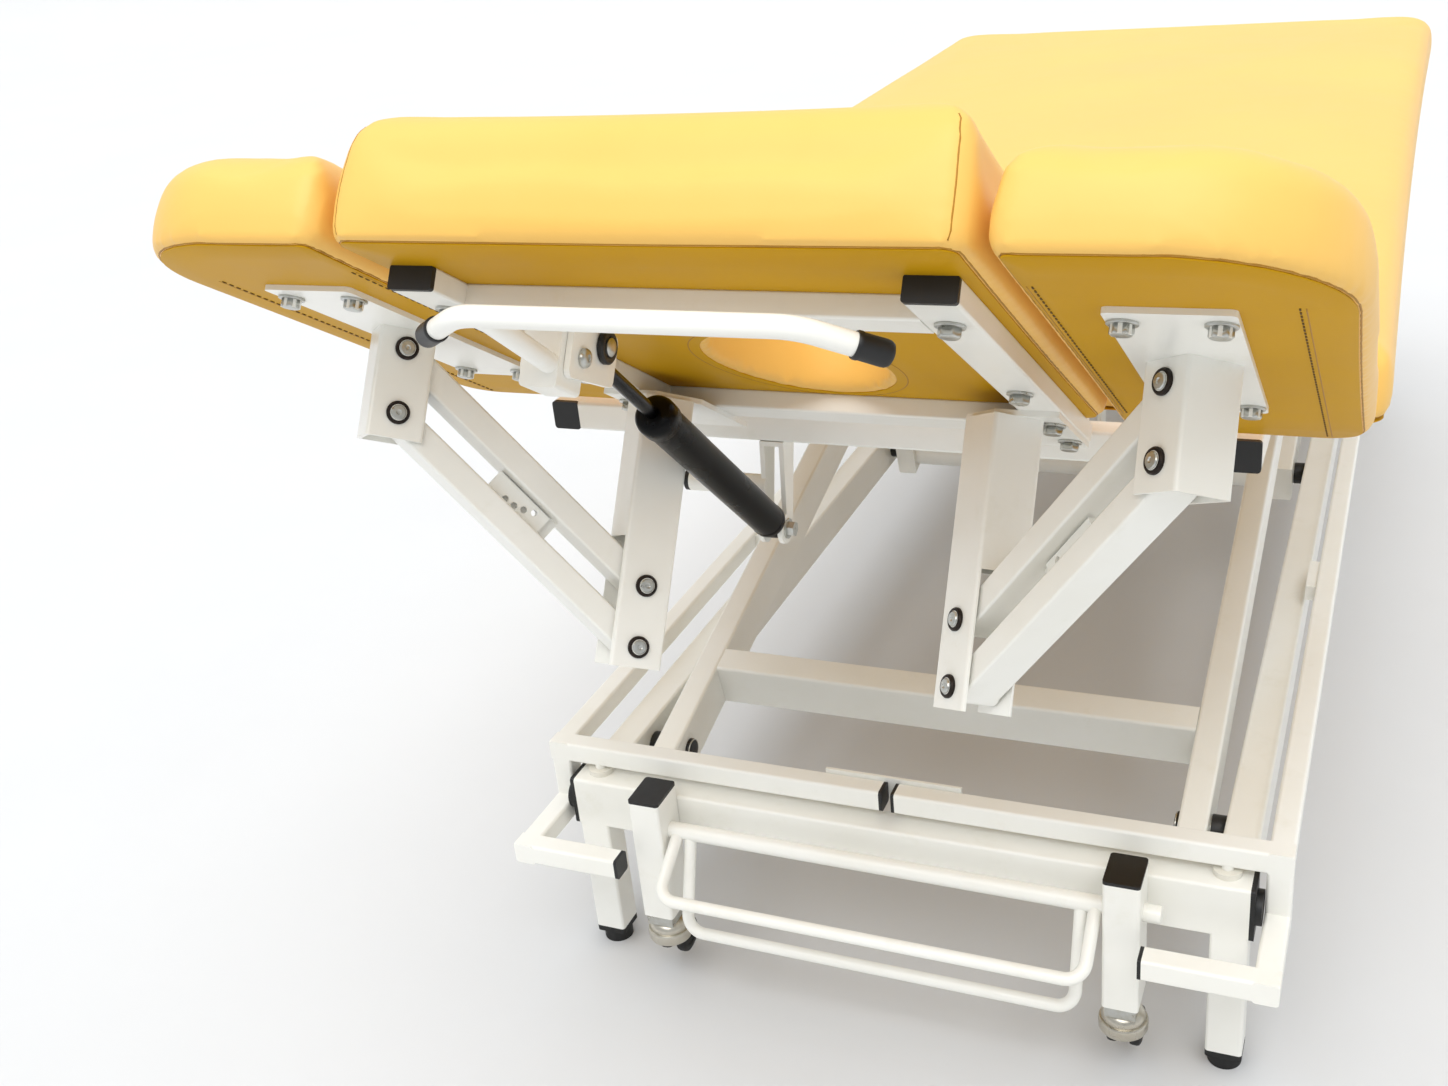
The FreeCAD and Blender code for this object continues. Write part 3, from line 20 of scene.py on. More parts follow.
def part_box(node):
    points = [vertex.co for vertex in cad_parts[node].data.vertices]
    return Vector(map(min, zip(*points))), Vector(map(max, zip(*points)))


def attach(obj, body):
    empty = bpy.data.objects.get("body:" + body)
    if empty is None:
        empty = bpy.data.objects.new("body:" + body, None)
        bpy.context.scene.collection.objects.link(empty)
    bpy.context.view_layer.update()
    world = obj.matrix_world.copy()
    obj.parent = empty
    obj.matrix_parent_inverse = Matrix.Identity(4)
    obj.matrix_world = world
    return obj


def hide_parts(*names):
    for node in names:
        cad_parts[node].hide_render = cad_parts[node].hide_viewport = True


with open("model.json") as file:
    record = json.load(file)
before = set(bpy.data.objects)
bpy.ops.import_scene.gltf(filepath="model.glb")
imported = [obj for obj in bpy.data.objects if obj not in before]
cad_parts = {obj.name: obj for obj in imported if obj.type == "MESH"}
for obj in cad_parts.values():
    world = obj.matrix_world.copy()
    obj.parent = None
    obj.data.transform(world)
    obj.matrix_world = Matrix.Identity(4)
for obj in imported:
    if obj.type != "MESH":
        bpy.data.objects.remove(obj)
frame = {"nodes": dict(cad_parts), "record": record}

log = logging.getLogger("treatment_table")
MM = 0.001
Array = np.ndarray
Piece = bpy.types.Object
Tree = bpy.types.NodeTree
Socket = bpy.types.NodeSocket
MERGE_DISTANCE = 0.005 * MM
# Values of a noise texture between which most of it lies.
PATCH_LOW, PATCH_HIGH = 0.3, 0.7


# Frames of reference


@dataclass(frozen=True)
class TablePlaces:
    """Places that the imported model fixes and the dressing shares."""

    post_reach: float = 40 * MM
    hinge_y: float = 56 * MM
    hinge_z: float = 566 * MM
    hinge_s: float = 417.1 * MM
    hinge_lift: float = 11.4 * MM
    head_tilt: float = math.radians(32)
    base_length: float = 1600 * MM
    frame_top: float = 554.5 * MM

    @property
    def front(self) -> float:
        """Y of the crossbar's front face."""
        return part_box("base_end_front")[0].y + self.post_reach

    def head(self, points: Array) -> Array:
        """Turns places in the head section's frame into the row frame.

        The section is turned by its tilt about the hinge: y and z are the hinge's, plus
        the distance along it times cosine and sine, plus the height above it likewise.

        Args:
            points: places (..., 3) as (x, s, lift).

        Returns:
            The same places (..., 3) as (x, y, z).
        """
        points = np.asarray(points, float)
        along = points[..., 1] - self.hinge_s
        above = points[..., 2] - self.hinge_lift
        cos, sin = math.cos(self.head_tilt), math.sin(self.head_tilt)
        y = self.front + self.hinge_y + along * cos + above * sin
        z = self.hinge_z - along * sin + above * cos
        return np.stack([points[..., 0], y, z], axis=-1)

    def head_direction(self, direction: Sequence[float]) -> Array:
        """Turns a direction in the head section's frame into the row frame."""
        ends = self.head(np.array([[0.0, 0.0, 0.0], list(direction)]))
        return ends[1] - ends[0]


PLACES = TablePlaces()


# Surfaces


def linked(name: str, data: bpy.types.ID) -> Piece:
    """New object of the given data, linked to the scene.

    Args:
        name: the object's name.
        data: its mesh, light or camera.

    Returns:
        The object.
    """
    made = bpy.data.objects.new(name, data)
    bpy.context.scene.collection.objects.link(made)
    return made


def make_object(name: str, vertices: Array, faces: Sequence[Sequence[int]]) -> Piece:
    """Puts arrays into a new mesh object at the origin, shaded smooth.

    Args:
        name: the piece's name.
        vertices: places (n, 3).
        faces: corner numbers of each face.

    Returns:
        The linked object.
    """
    mesh = bpy.data.meshes.new(name)
    mesh.from_pydata(np.asarray(vertices, float).reshape(-1, 3), [], faces)
    mesh.validate()
    mesh.update()
    mesh.polygons.foreach_set("use_smooth", np.full(len(mesh.polygons), True))
    return linked(name, mesh)


def grid_faces(rows: int, columns: int, wrap_rows: bool = False) -> Array:
    """Corner numbers of the quads between the rings of a stack.

    Args:
        rows: rings of the stack.
        columns: points in a ring.
        wrap_rows: whether the last ring joins the first.

    Returns:
        Corner numbers (n, 4).
    """
    row = np.arange(rows if wrap_rows else rows - 1)
    row, column = np.meshgrid(row, np.arange(columns), indexing="ij")
    next_row, next_column = (row + 1) % rows, (column + 1) % columns
    quads = [row * columns + column, row * columns + next_column,
             next_row * columns + next_column, next_row * columns + column]
    return np.stack(quads, axis=-1).reshape(-1, 4)


def end_faces(rows: int, columns: int) -> Array:
    """Corner numbers (2, columns) of the flat ends of a stack of rings."""
    ring = np.arange(columns)
    return np.stack([ring[::-1], (rows - 1) * columns + ring])


def grid_surface(name: str, points: Array, wrap_rows: bool = False) -> Piece:
    """Skins a stack of rings, with flat ends where the stack is open.

    Args:
        name: the piece's name.
        points: grid (rows, columns, 3), each row a ring.
        wrap_rows: whether the last ring joins the first.

    Returns:
        The closed object with its faces outwards.
    """
    rows, columns = points.shape[:2]
    faces = grid_faces(rows, columns, wrap_rows).tolist()
    if not wrap_rows:
        faces += end_faces(rows, columns).tolist()
    piece = make_object(name, points, faces)
    face_outwards(piece)
    return piece


def face_outwards(piece: Piece) -> None:
    """Merges doubles and turns every face of a closed mesh outwards.

    Args:
        piece: the object, changed in place.
    """
    mesh = bmesh.new()
    mesh.from_mesh(piece.data)
    bmesh.ops.remove_doubles(mesh, verts=mesh.verts, dist=MERGE_DISTANCE)
    bmesh.ops.recalc_face_normals(mesh, faces=mesh.faces)
    mesh.to_mesh(piece.data)
    mesh.free()


def cross_axes(direction: Sequence[float]) -> tuple[Array, Array, Array]:
    """A unit direction and two unit vectors square to it.

    Args:
        direction: any direction.

    Returns:
        The unit direction and the two vectors.
    """
    along = np.asarray(direction, float) / np.linalg.norm(direction)
    guide = np.array([0.0, 0.0, 1.0]) if abs(along[2]) < 0.9 else np.array([1.0, 0.0, 0.0])
    side = np.cross(guide, along)
    side /= np.linalg.norm(side)
    return along, side, np.cross(along, side)


def circle(side: Array, other: Array, steps: int) -> Array:
    """Unit circle round an axis: cosine of the turn along one vector, sine along the other.

    Args:
        side: unit vectors (..., 3) square to the axis.
        other: unit vectors (..., 3) square to the axis and to the first.
        steps: points round the axis.

    Returns:
        Directions (..., steps, 3).
    """
    turn = np.linspace(0, 2 * math.pi, steps, endpoint=False)[:, None]
    return np.cos(turn) * side[..., None, :] + np.sin(turn) * other[..., None, :]


def in_metres(profile: Sequence[tuple[float, float]]) -> list[tuple[float, float]]:
    """Profile of (radius, height) pairs in millimetres, turned to metres."""
    return [(radius * MM, height * MM) for radius, height in profile]


def lathe(name: str, profile: Sequence[tuple[float, float]], place: Sequence[float],
          direction: Sequence[float], steps: int = 40) -> Piece:
    """Turned piece: a profile of (radius, height) carried round an axis.

    Each point is the place plus height along the axis plus radius times the cosine and
    sine of the turn along the two cross axes.

    Args:
        name: the piece's name.
        profile: (radius, height) pairs from one end to the other.
        place: foot of the axis.
        direction: direction of the axis.
        steps: points round the axis.

    Returns:
        The turned object.
    """
    along, side, other = cross_axes(direction)
    shape = np.asarray(profile, float)
    ring = circle(side, other, steps)
    points = np.asarray(place, float) + shape[:, None, 1:2] * along + shape[:, None, 0:1] * ring
    return grid_surface(name, points)


def frames_along(path: Array, closed: bool = False) -> tuple[Array, Array]:
    """Two unit vectors square to a path at each of its points, without twist between them.

    The first is carried along by taking out its part along each new tangent.

    Args:
        path: places (n, 3).
        closed: whether the path closes.

    Returns:
        The two rows of vectors (n, 3).
    """
    ahead = np.roll(path, -1, 0) - np.roll(path, 1, 0)
    if not closed:
        ahead[0], ahead[-1] = path[1] - path[0], path[-1] - path[-2]
    tangent = ahead / np.linalg.norm(ahead, axis=1, keepdims=True)
    side = np.zeros_like(path)
    previous = cross_axes(tangent[0])[1]
    for index, step in enumerate(tangent):
        previous = previous - step * np.dot(previous, step)
        previous = previous / np.linalg.norm(previous)
        side[index] = previous
    return side, np.cross(tangent, side)


def tube(name: str, path: Array, radius: float, steps: int, closed: bool = False) -> Piece:
    """Round tube: a circle carried along a path.

    Args:
        name: the piece's name.
        path: middle line (n, 3).
        radius: radius of the circle.
        steps: points round the circle.
        closed: whether the path closes.

    Returns:
        The tube, with flat ends where it is open.
    """
    side, other = frames_along(path, closed)
    points = path[:, None] + radius * circle(side, other, steps)
    return grid_surface(name, points, wrap_rows=closed)


def vertex_places(mesh: bpy.types.Mesh) -> Array:
    """Reads where the vertices of a mesh are.

    Args:
        mesh: any mesh.

    Returns:
        Places (n, 3).
    """
    flat = np.empty(len(mesh.vertices) * 3)
    mesh.vertices.foreach_get("co", flat)
    return flat.reshape(-1, 3)


def joined(name: str, parts: Sequence[Piece]) -> Piece:
    """Joins objects into one piece with one name.

    Args:
        name: the piece's name.
        parts: the objects, which are used up.

    Returns:
        The one object.
    """
    vertices, faces, offset, smooth = [], [], 0, []
    for part in parts:
        mesh = part.data
        vertices.append(vertex_places(mesh))
        faces += [[corner + offset for corner in face.vertices] for face in mesh.polygons]
        smooth += [face.use_smooth for face in mesh.polygons]
        offset += len(mesh.vertices)
        bpy.data.objects.remove(part)
        bpy.data.meshes.remove(mesh)
    piece = make_object(name, np.concatenate(vertices), faces)
    piece.data.polygons.foreach_set("use_smooth", smooth)
    return piece


def fixed_mesh(piece: Piece) -> None:
    """Replaces a piece's mesh by what its modifiers make of it.

    Args:
        piece: the object, changed in place.
    """
    graph = bpy.context.evaluated_depsgraph_get()
    result = bpy.data.meshes.new_from_object(piece.evaluated_get(graph))
    piece.modifiers.clear()
    old, piece.data = piece.data, result
    bpy.data.meshes.remove(old)


def sharpen(piece: Piece, degrees: float = 35.0) -> None:
    """Shades a piece smooth but keeps edges sharper than an angle."""
    piece.data.set_sharp_from_angle(angle=math.radians(degrees))


# Finishes


def linear(hexadecimal: str) -> tuple[float, float, float, float]:
    """Linear colour of an sRGB hex value: each share is raised by the sRGB curve.

    Args:
        hexadecimal: colour as #RRGGBB in sRGB.

    Returns:
        Linear red, green and blue, and full opacity.
    """
    shares = [int(hexadecimal[k:k + 2], 16) / 255 for k in (1, 3, 5)]
    curve = [s / 12.92 if s <= 0.04045 else ((s + 0.055) / 1.055) ** 2.4 for s in shares]
    return (*curve, 1.0)


def per_metre(millimetres: float) -> float:
    """Pattern scale for a texture whose features are this many millimetres across."""
    return 1 / (millimetres * MM)


def add_node(tree: Tree, kind: str, settings: Optional[dict] = None,
             links: Optional[dict] = None) -> bpy.types.Node:
    """Adds one shader node.

    Args:
        tree: the material's node tree.
        kind: the node's type name.
        settings: values by property name or, with a leading dot, by input socket name.
        links: output sockets by the name or the number of the input socket.

    Returns:
        The new node.
    """
    new = tree.nodes.new(kind)
    for key, value in (settings or {}).items():
        if key.startswith("."):
            new.inputs[key[1:]].default_value = value
        else:
            setattr(new, key, value)
    for key, socket in (links or {}).items():
        tree.links.new(socket, new.inputs[int(key) if key.isdigit() else key])
    return new


def ramp(tree: Tree, factor: Socket, stops: Sequence[tuple[float, Sequence[float]]]) -> Socket:
    """Colour output of a ramp between two stops.

    Args:
        tree: the material's node tree.
        factor: socket that drives the ramp.
        stops: both positions with their colours, in order.

    Returns:
        The ramp's colour socket.
    """
    new = add_node(tree, "ShaderNodeValToRGB", links={"Fac": factor})
    for element, stop in zip(new.color_ramp.elements, stops):
        element.position, element.color = stop
    return new.outputs["Color"]


def noise(tree: Tree, where: Socket, size_mm: float, detail: float = 2.0,
          roughness: float = 0.5) -> Socket:
    """Value of a noise texture.

    Args:
        tree: the material's node tree.
        where: coordinates of the texture.
        size_mm: width of its features in millimetres.
        detail: number of finer layers.
        roughness: weight of the finer layers.

    Returns:
        The socket of the value.
    """
    settings = {".Scale": per_metre(size_mm), ".Detail": detail, ".Roughness": roughness}
    return add_node(tree, "ShaderNodeTexNoise", settings, {"Vector": where}).outputs["Fac"]


def spread(tree: Tree, value: Socket, source: tuple[float, float],
           result: tuple[float, float]) -> Socket:
    """Value carried from one range to another, and held at the ends.

    Args:
        tree: the material's node tree.
        value: socket of the value.
        source: the range it comes from.
        result: the range it goes to.

    Returns:
        The socket of the new value.
    """
    settings = {".From Min": source[0], ".From Max": source[1], ".To Min": result[0],
                ".To Max": result[1]}
    return add_node(tree, "ShaderNodeMapRange", settings, {"Value": value}).outputs["Result"]


def bump(tree: Tree, height: Socket, depth_mm: float, normal: Optional[Socket] = None,
         strength: float = 1.0, invert: bool = False) -> Socket:
    """Normal bent by a height.

    Args:
        tree: the material's node tree.
        height: socket of the height from 0 to 1.
        depth_mm: depth of the relief in millimetres.
        normal: a normal that is already bent, if there is one.
        strength: share of the relief that shows.
        invert: whether the height points inwards.

    Returns:
        The socket of the normal.
    """
    settings = {".Strength": strength, ".Distance": depth_mm * MM, "invert": invert}
    links = {"Height": height} if normal is None else {"Height": height, "Normal": normal}
    return add_node(tree, "ShaderNodeBump", settings, links).outputs["Normal"]


@dataclass(frozen=True)
class Finish:
    """Common parts of every finish: colour patches, roughness and two grades of relief."""

    name: str
    colour: str
    shade: str
    patch_mm: float
    roughness: float
    rougher: float
    grain_mm: float
    grain_depth_mm: float
    metallic: float = 0.0
    ior: float = 1.5
    coat: float = 0.0
    coat_roughness: float = 0.1
    wave_mm: float = 60.0
    wave_depth_mm: float = 0.0
    specular: float = 0.5

    def material(self) -> bpy.types.Material:
        """The finish as a procedural material on Object coordinates, made once.

        Returns:
            The material.
        """
        existing = bpy.data.materials.get(self.name)
        if existing:
            return existing
        made = bpy.data.materials.new(self.name)
        made.use_nodes = True
        tree = made.node_tree
        tree.nodes.clear()
        where = add_node(tree, "ShaderNodeTexCoord").outputs["Object"]
        patches = noise(tree, where, self.patch_mm, 4.0, 0.6)
        colour = self.colour_output(tree, where, patches)
        rough = spread(tree, patches, (PATCH_LOW, PATCH_HIGH), (self.roughness, self.rougher))
        shader = add_node(
            tree, "ShaderNodeBsdfPrincipled",
            {".Metallic": self.metallic, ".IOR": self.ior, ".Coat Weight": self.coat,
             ".Coat Roughness": self.coat_roughness, ".Specular IOR Level": self.specular},
            {"Base Color": colour, "Roughness": rough, "Normal": self.relief(tree, where)})
        add_node(tree, "ShaderNodeOutputMaterial", links={"Surface": shader.outputs["BSDF"]})
        return made

    def colour_output(self, tree: Tree, where: Socket, patches: Socket) -> Socket:
        """Colour that drifts between the shade and the main colour from patch to patch.

        Args:
            tree: the material's node tree.
            where: Object coordinates; not used here.
            patches: socket with the patches of the surface.

        Returns:
            The colour socket.
        """
        stops = [(PATCH_LOW, linear(self.shade)), (PATCH_HIGH, linear(self.colour))]
        return ramp(tree, patches, stops)

    def relief(self, tree: Tree, where: Socket) -> Socket:
        """Normal bent by a fine grain and, where stated, by long shallow waves.

        Args:
            tree: the material's node tree.
            where: Object coordinates.

        Returns:
            The normal socket.
        """
        normal = bump(tree, noise(tree, where, self.grain_mm, 3.0), self.grain_depth_mm)
        if self.wave_depth_mm:
            normal = bump(tree, noise(tree, where, self.wave_mm), self.wave_depth_mm, normal)
        return normal


@dataclass(frozen=True)
class PowderCoat(Finish):
    """Polyester powder coat: sprayed and baked, so a satin skin with a faint orange peel."""

    dust: str = "#DAD5BE"
    mark_mm: float = 45.0
    most_dust: float = 0.35

    def colour_output(self, tree: Tree, where: Socket, patches: Socket) -> Socket:
        """Cream white, a little warmer in faint handled patches.

        Args:
            tree: the material's node tree.
            where: Object coordinates.
            patches: socket with the patches of the surface.

        Returns:
            The colour socket.
        """
        base = super().colour_output(tree, where, patches)
        marks = noise(tree, where, self.mark_mm, 8.0, 0.7)
        amount = spread(tree, marks, (0.58, 0.85), (0.0, self.most_dust))
        mix = add_node(tree, "ShaderNodeMix", {"data_type": "RGBA"}, {"0": amount, "6": base})
        mix.inputs[7].default_value = linear(self.dust)
        return mix.outputs[2]


@dataclass(frozen=True)
class CoatedVinyl(Finish):
    """Upholstery vinyl: a cast skin on a knitted backing, so soft gloss over pebble grain."""

    pebble_mm: float = 2.6
    pebble_depth_mm: float = 0.035

    def relief(self, tree: Tree, where: Socket) -> Socket:
        """Pebble grain of closed cells over the soft dents of the foam.

        Real cells are under a millimetre. They are drawn a few times larger so that they
        show from the camera's distance.

        Args:
            tree: the material's node tree.
            where: Object coordinates.

        Returns:
            The normal socket.
        """
        cells = add_node(tree, "ShaderNodeTexVoronoi", {".Scale": per_metre(self.pebble_mm)},
                         {"Vector": where})
        pebble = bump(tree, cells.outputs["Distance"], self.pebble_depth_mm, strength=0.6,
                      invert=True)
        return bump(tree, noise(tree, where, self.wave_mm), self.wave_depth_mm, pebble)


@dataclass(frozen=True)
class PlatedMetal(Finish):
    """Plated steel: a bright metal skin, streaked by turning or by the plating bath."""

    streak_mm: float = 1.5
    stretch: float = 0.15

    def relief(self, tree: Tree, where: Socket) -> Socket:
        """Fine streaks stretched along Z.

        Args:
            tree: the material's node tree.
            where: Object coordinates.

        Returns:
            The normal socket.
        """
        stretched = add_node(tree, "ShaderNodeMapping", {".Scale": (1.0, 1.0, self.stretch)},
                             {"Vector": where})
        streaks = noise(tree, stretched.outputs["Vector"], self.streak_mm)
        return bump(tree, streaks, self.grain_depth_mm)


# Baked polyester powder on steel: a smooth satin white that is faintly warm.
WHITE_PAINT = PowderCoat(
    name="cream powder coat", colour="#F8F7F1", shade="#F2F0E7", patch_mm=160.0, roughness=0.30,
    rougher=0.42, grain_mm=2.2, grain_depth_mm=0.012, coat=0.25, coat_roughness=0.18)
# Cast vinyl over foam: bright yellow, soft broad highlights and long shallow dents.
YELLOW_VINYL = CoatedVinyl(
    name="yellow upholstery vinyl", colour="#F3C368", shade="#F0BD5E", patch_mm=220.0,
    roughness=0.36, rougher=0.46, grain_mm=1.2, grain_depth_mm=0.02, ior=1.48, specular=0.35,
    wave_mm=70.0, wave_depth_mm=0.5)
# The same vinyl pulled flat over the board, hardly shining; its deeper colour is painted shade.
UNDERSIDE_VINYL_PAINTED_SHADE = CoatedVinyl(
    name="yellow vinyl of the underside darkened as painted shade", colour="#CC9A10", shade="#C4920C", patch_mm=180.0,
    roughness=0.42, rougher=0.52, grain_mm=1.2, grain_depth_mm=0.02, ior=1.48, specular=0.1,
    wave_mm=90.0, wave_depth_mm=0.4)
# Vinyl of a seam, dull and brownish: painted shade of its crease.
SEAM_VINYL_PAINTED_CREASE_SHADE = CoatedVinyl(
    name="seam vinyl darkened as painted crease shade", colour="#B07C12", shade="#A6730E", patch_mm=30.0,
    roughness=0.48, rougher=0.56, grain_mm=1.2, grain_depth_mm=0.02, ior=1.48, wave_mm=20.0,
    wave_depth_mm=0.1)
# Twisted polyester thread: dull brown dashes.
THREAD = Finish(
    name="sewing thread", colour="#6A4A16", shade="#5C3F12", patch_mm=4.0, roughness=0.7,
    rougher=0.8, grain_mm=0.6, grain_depth_mm=0.03)
# Injection-moulded polyethylene: a near-black satin with a faint texture.
BLACK_PLASTIC = Finish(
    name="moulded black polyethylene", colour="#161616", shade="#0F0F10", patch_mm=18.0,
    roughness=0.42, rougher=0.52, grain_mm=1.4, grain_depth_mm=0.025)
# Moulded rubber: matt and a touch dusty.
BLACK_RUBBER = Finish(
    name="moulded black rubber", colour="#1B1A19", shade="#121211", patch_mm=14.0,
    roughness=0.62, rougher=0.75, grain_mm=1.1, grain_depth_mm=0.03, ior=1.52)
# Turned nylon: milky white with a soft sheen.
WHITE_NYLON = Finish(
    name="turned white nylon", colour="#ECE9DF", shade="#E2DDCF", patch_mm=20.0, roughness=0.38,
    rougher=0.46, grain_mm=1.5, grain_depth_mm=0.01, ior=1.53)
# Electroplated zinc on bolts: a cool metal, clouded where the bath left it uneven.
ZINC = PlatedMetal(
    name="bright zinc plate", colour="#C9CBC9", shade="#B4B2A8", patch_mm=9.0, roughness=0.24,
    rougher=0.40, grain_mm=1.0, grain_depth_mm=0.008, metallic=1.0)
# Nickel on pressed steel, brushed: a warm grey metal.
CHROME = PlatedMetal(
    name="brushed nickel plate", colour="#CDC8BC", shade="#BFB9AB", patch_mm=30.0,
    roughness=0.24, rougher=0.34, grain_mm=1.0, grain_depth_mm=0.006, metallic=1.0)
# Nitrided and ground steel: a dark smooth metal.
DARK_ROD = PlatedMetal(
    name="blackened piston rod", colour="#3A3A3C", shade="#2E2E30", patch_mm=25.0,
    roughness=0.18, rougher=0.28, grain_mm=1.0, grain_depth_mm=0.003, metallic=1.0)
# Stoved enamel: deep black with small sharp highlights.
BLACK_ENAMEL = Finish(
    name="black stove enamel", colour="#09090A", shade="#060607", patch_mm=60.0, roughness=0.22,
    rougher=0.32, grain_mm=2.0, grain_depth_mm=0.008, coat=0.03, coat_roughness=0.14,
    specular=0.12)
# Moulded plastic of the actuator: an even mid grey.
GREY_HOUSING = Finish(
    name="grey moulded housing", colour="#8D8F90", shade="#838586", patch_mm=40.0,
    roughness=0.45, rougher=0.55, grain_mm=1.2, grain_depth_mm=0.02)
# Blued steel of the pivot bushes: a dark brownish metal.
BUSH_STEEL = PlatedMetal(
    name="blued spring steel", colour="#2B2725", shade="#3B332E", patch_mm=6.0, roughness=0.35,
    rougher=0.5, grain_mm=1.0, grain_depth_mm=0.01, metallic=0.9)
# Matt seamless paper: it stays near white under the studio's light.
FLOOR_PAPER = Finish(
    name="white studio paper", colour="#D4D4D4", shade="#D2D2D2", patch_mm=400.0, roughness=0.8,
    rougher=0.85, grain_mm=3.0, grain_depth_mm=0.01, specular=0.2)


class Slot(Enum):
    """Material slots of the record with the finish that dresses each one."""

    WHITE_PAINT = ("white_paint", WHITE_PAINT)
    YELLOW_VINYL = ("yellow_vinyl", YELLOW_VINYL)
    BLACK_PLASTIC = ("black_plastic", BLACK_PLASTIC)
    BLACK_RUBBER = ("black_rubber", BLACK_RUBBER)
    WHITE_PLASTIC = ("white_plastic", WHITE_NYLON)
    ZINC_STEEL = ("zinc_steel", ZINC)
    HOOD_CHROME = ("hood_chrome", CHROME)
    BLACK_ENAMEL = ("black_enamel", BLACK_ENAMEL)
    GREY_HOUSING = ("grey_housing", GREY_HOUSING)

    @property
    def label(self) -> str:
        """The slot's name in the record."""
        return self.value[0]

    @property
    def finish(self) -> Finish:
        """The finish of the slot."""
        return self.value[1]


def dress(piece: Piece, slot: Slot, body: str, finish: Optional[Finish] = None,
          replaced: Sequence[str] = ()) -> Piece:
    """Gives a finished piece its material and body, and hides the nodes it stands for.

    Args:
        piece: the object, in its place.
        slot: the record's slot.
        body: the CAD body it moves with.
        finish: another finish than the slot's own.
        replaced: CAD nodes that it stands for.

    Returns:
        The piece.
    """
    piece.data.materials.clear()
    piece.data.materials.append((finish or slot.finish).material())
    if replaced:
        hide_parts(*replaced)
    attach(piece, body)
    log.info("%s rides on %s", piece.name, body)
    return piece


# Upholstery


def rounded_outline(low: tuple[float, float], high: tuple[float, float], radii: Sequence[float],
                    inset: float, draw: float, arc_points: int = 14,
                    side_points: int = 60) -> Array:
    """Outline of a pad seen from above, counter-clockwise from the low corner.

    Each corner is a quarter circle of its radius less the inset. Each side runs straight
    between them and is drawn in by a parabola that is deepest at its middle.

    Args:
        low: lowest x and y.
        high: highest x and y.
        radii: corner radii at (low, low), (high, low), (high, high), (low, high).
        inset: distance inside the full outline.
        draw: depth of the drawn-in sides as a share of their length.
        arc_points: points on each corner.
        side_points: points on each side.

    Returns:
        Places (n, 2).
    """
    low_in = np.array(low) + inset
    high_in = np.array(high) - inset
    kept = [max(radius - inset, 0.35 * radius) for radius in radii]
    corner = [(low_in[0], low_in[1]), (high_in[0], low_in[1]), (high_in[0], high_in[1]),
              (low_in[0], high_in[1])]
    inward = [(1, 1), (-1, 1), (-1, -1), (1, -1)]
    arcs = []
    for index, (place, turn, radius) in enumerate(zip(corner, inward, kept)):
        angle = math.pi * (1 + index / 2) + np.linspace(0, math.pi / 2, arc_points)
        centre = np.array(place) + radius * np.array(turn)
        arcs.append(centre + radius * np.stack([np.cos(angle), np.sin(angle)], axis=-1))
    parts = []
    for index, arc in enumerate(arcs):
        following = arcs[(index + 1) % 4][0]
        share = np.linspace(0, 1, side_points + 2)[1:-1, None]
        side = arc[-1] + (following - arc[-1]) * share
        normal = np.array([-(following - arc[-1])[1], (following - arc[-1])[0]])
        side = side + 4 * share * (1 - share) * draw * normal
        parts += [arc, side]
    return np.concatenate(parts)


def at_level(flat: Array, level: float) -> Array:
    """Flat points (n, 2) as places (n, 3) at one level."""
    return np.column_stack([flat, np.full(len(flat), level)])


def laid_on(path: Array, target: Piece, lift: float) -> Array:
    """Moves the points of a path to the nearest places on a piece, lifted off it a little.

    Args:
        path: places (n, 3) near the piece.
        target: the piece.
        lift: height above its surface, or below it if negative.

    Returns:
        Places (n, 3) on the piece.
    """
    mesh = bpy.data.meshes.new("seam path")
    mesh.from_pydata(path, [], [])
    probe = linked("seam path", mesh)
    wrap = probe.modifiers.new("onto the pad", "SHRINKWRAP")
    wrap.target, wrap.offset, wrap.wrap_mode = target, lift, "ABOVE_SURFACE"
    graph = bpy.context.evaluated_depsgraph_get()
    places = vertex_places(probe.evaluated_get(graph).to_mesh())
    bpy.data.objects.remove(probe)
    bpy.data.meshes.remove(mesh)
    return places


def evenly(path: Array, spacing: float, closed: bool = False) -> Array:
    """Points of a path at even spacing along its length.

    Args:
        path: places (n, 3).
        spacing: wanted distance between the points.
        closed: whether the path closes.

    Returns:
        Places (m, 3).
    """
    if closed:
        path = np.concatenate([path, path[:1]])
    steps = np.linalg.norm(np.diff(path, axis=0), axis=1)
    length = np.concatenate([[0.0], np.cumsum(steps)])
    count = max(int(length[-1] / spacing), 2)
    wanted = np.linspace(0, length[-1], count + 1)
    if closed:
        wanted = wanted[:-1]
    return np.stack([np.interp(wanted, length, path[:, axis]) for axis in range(3)], axis=-1)


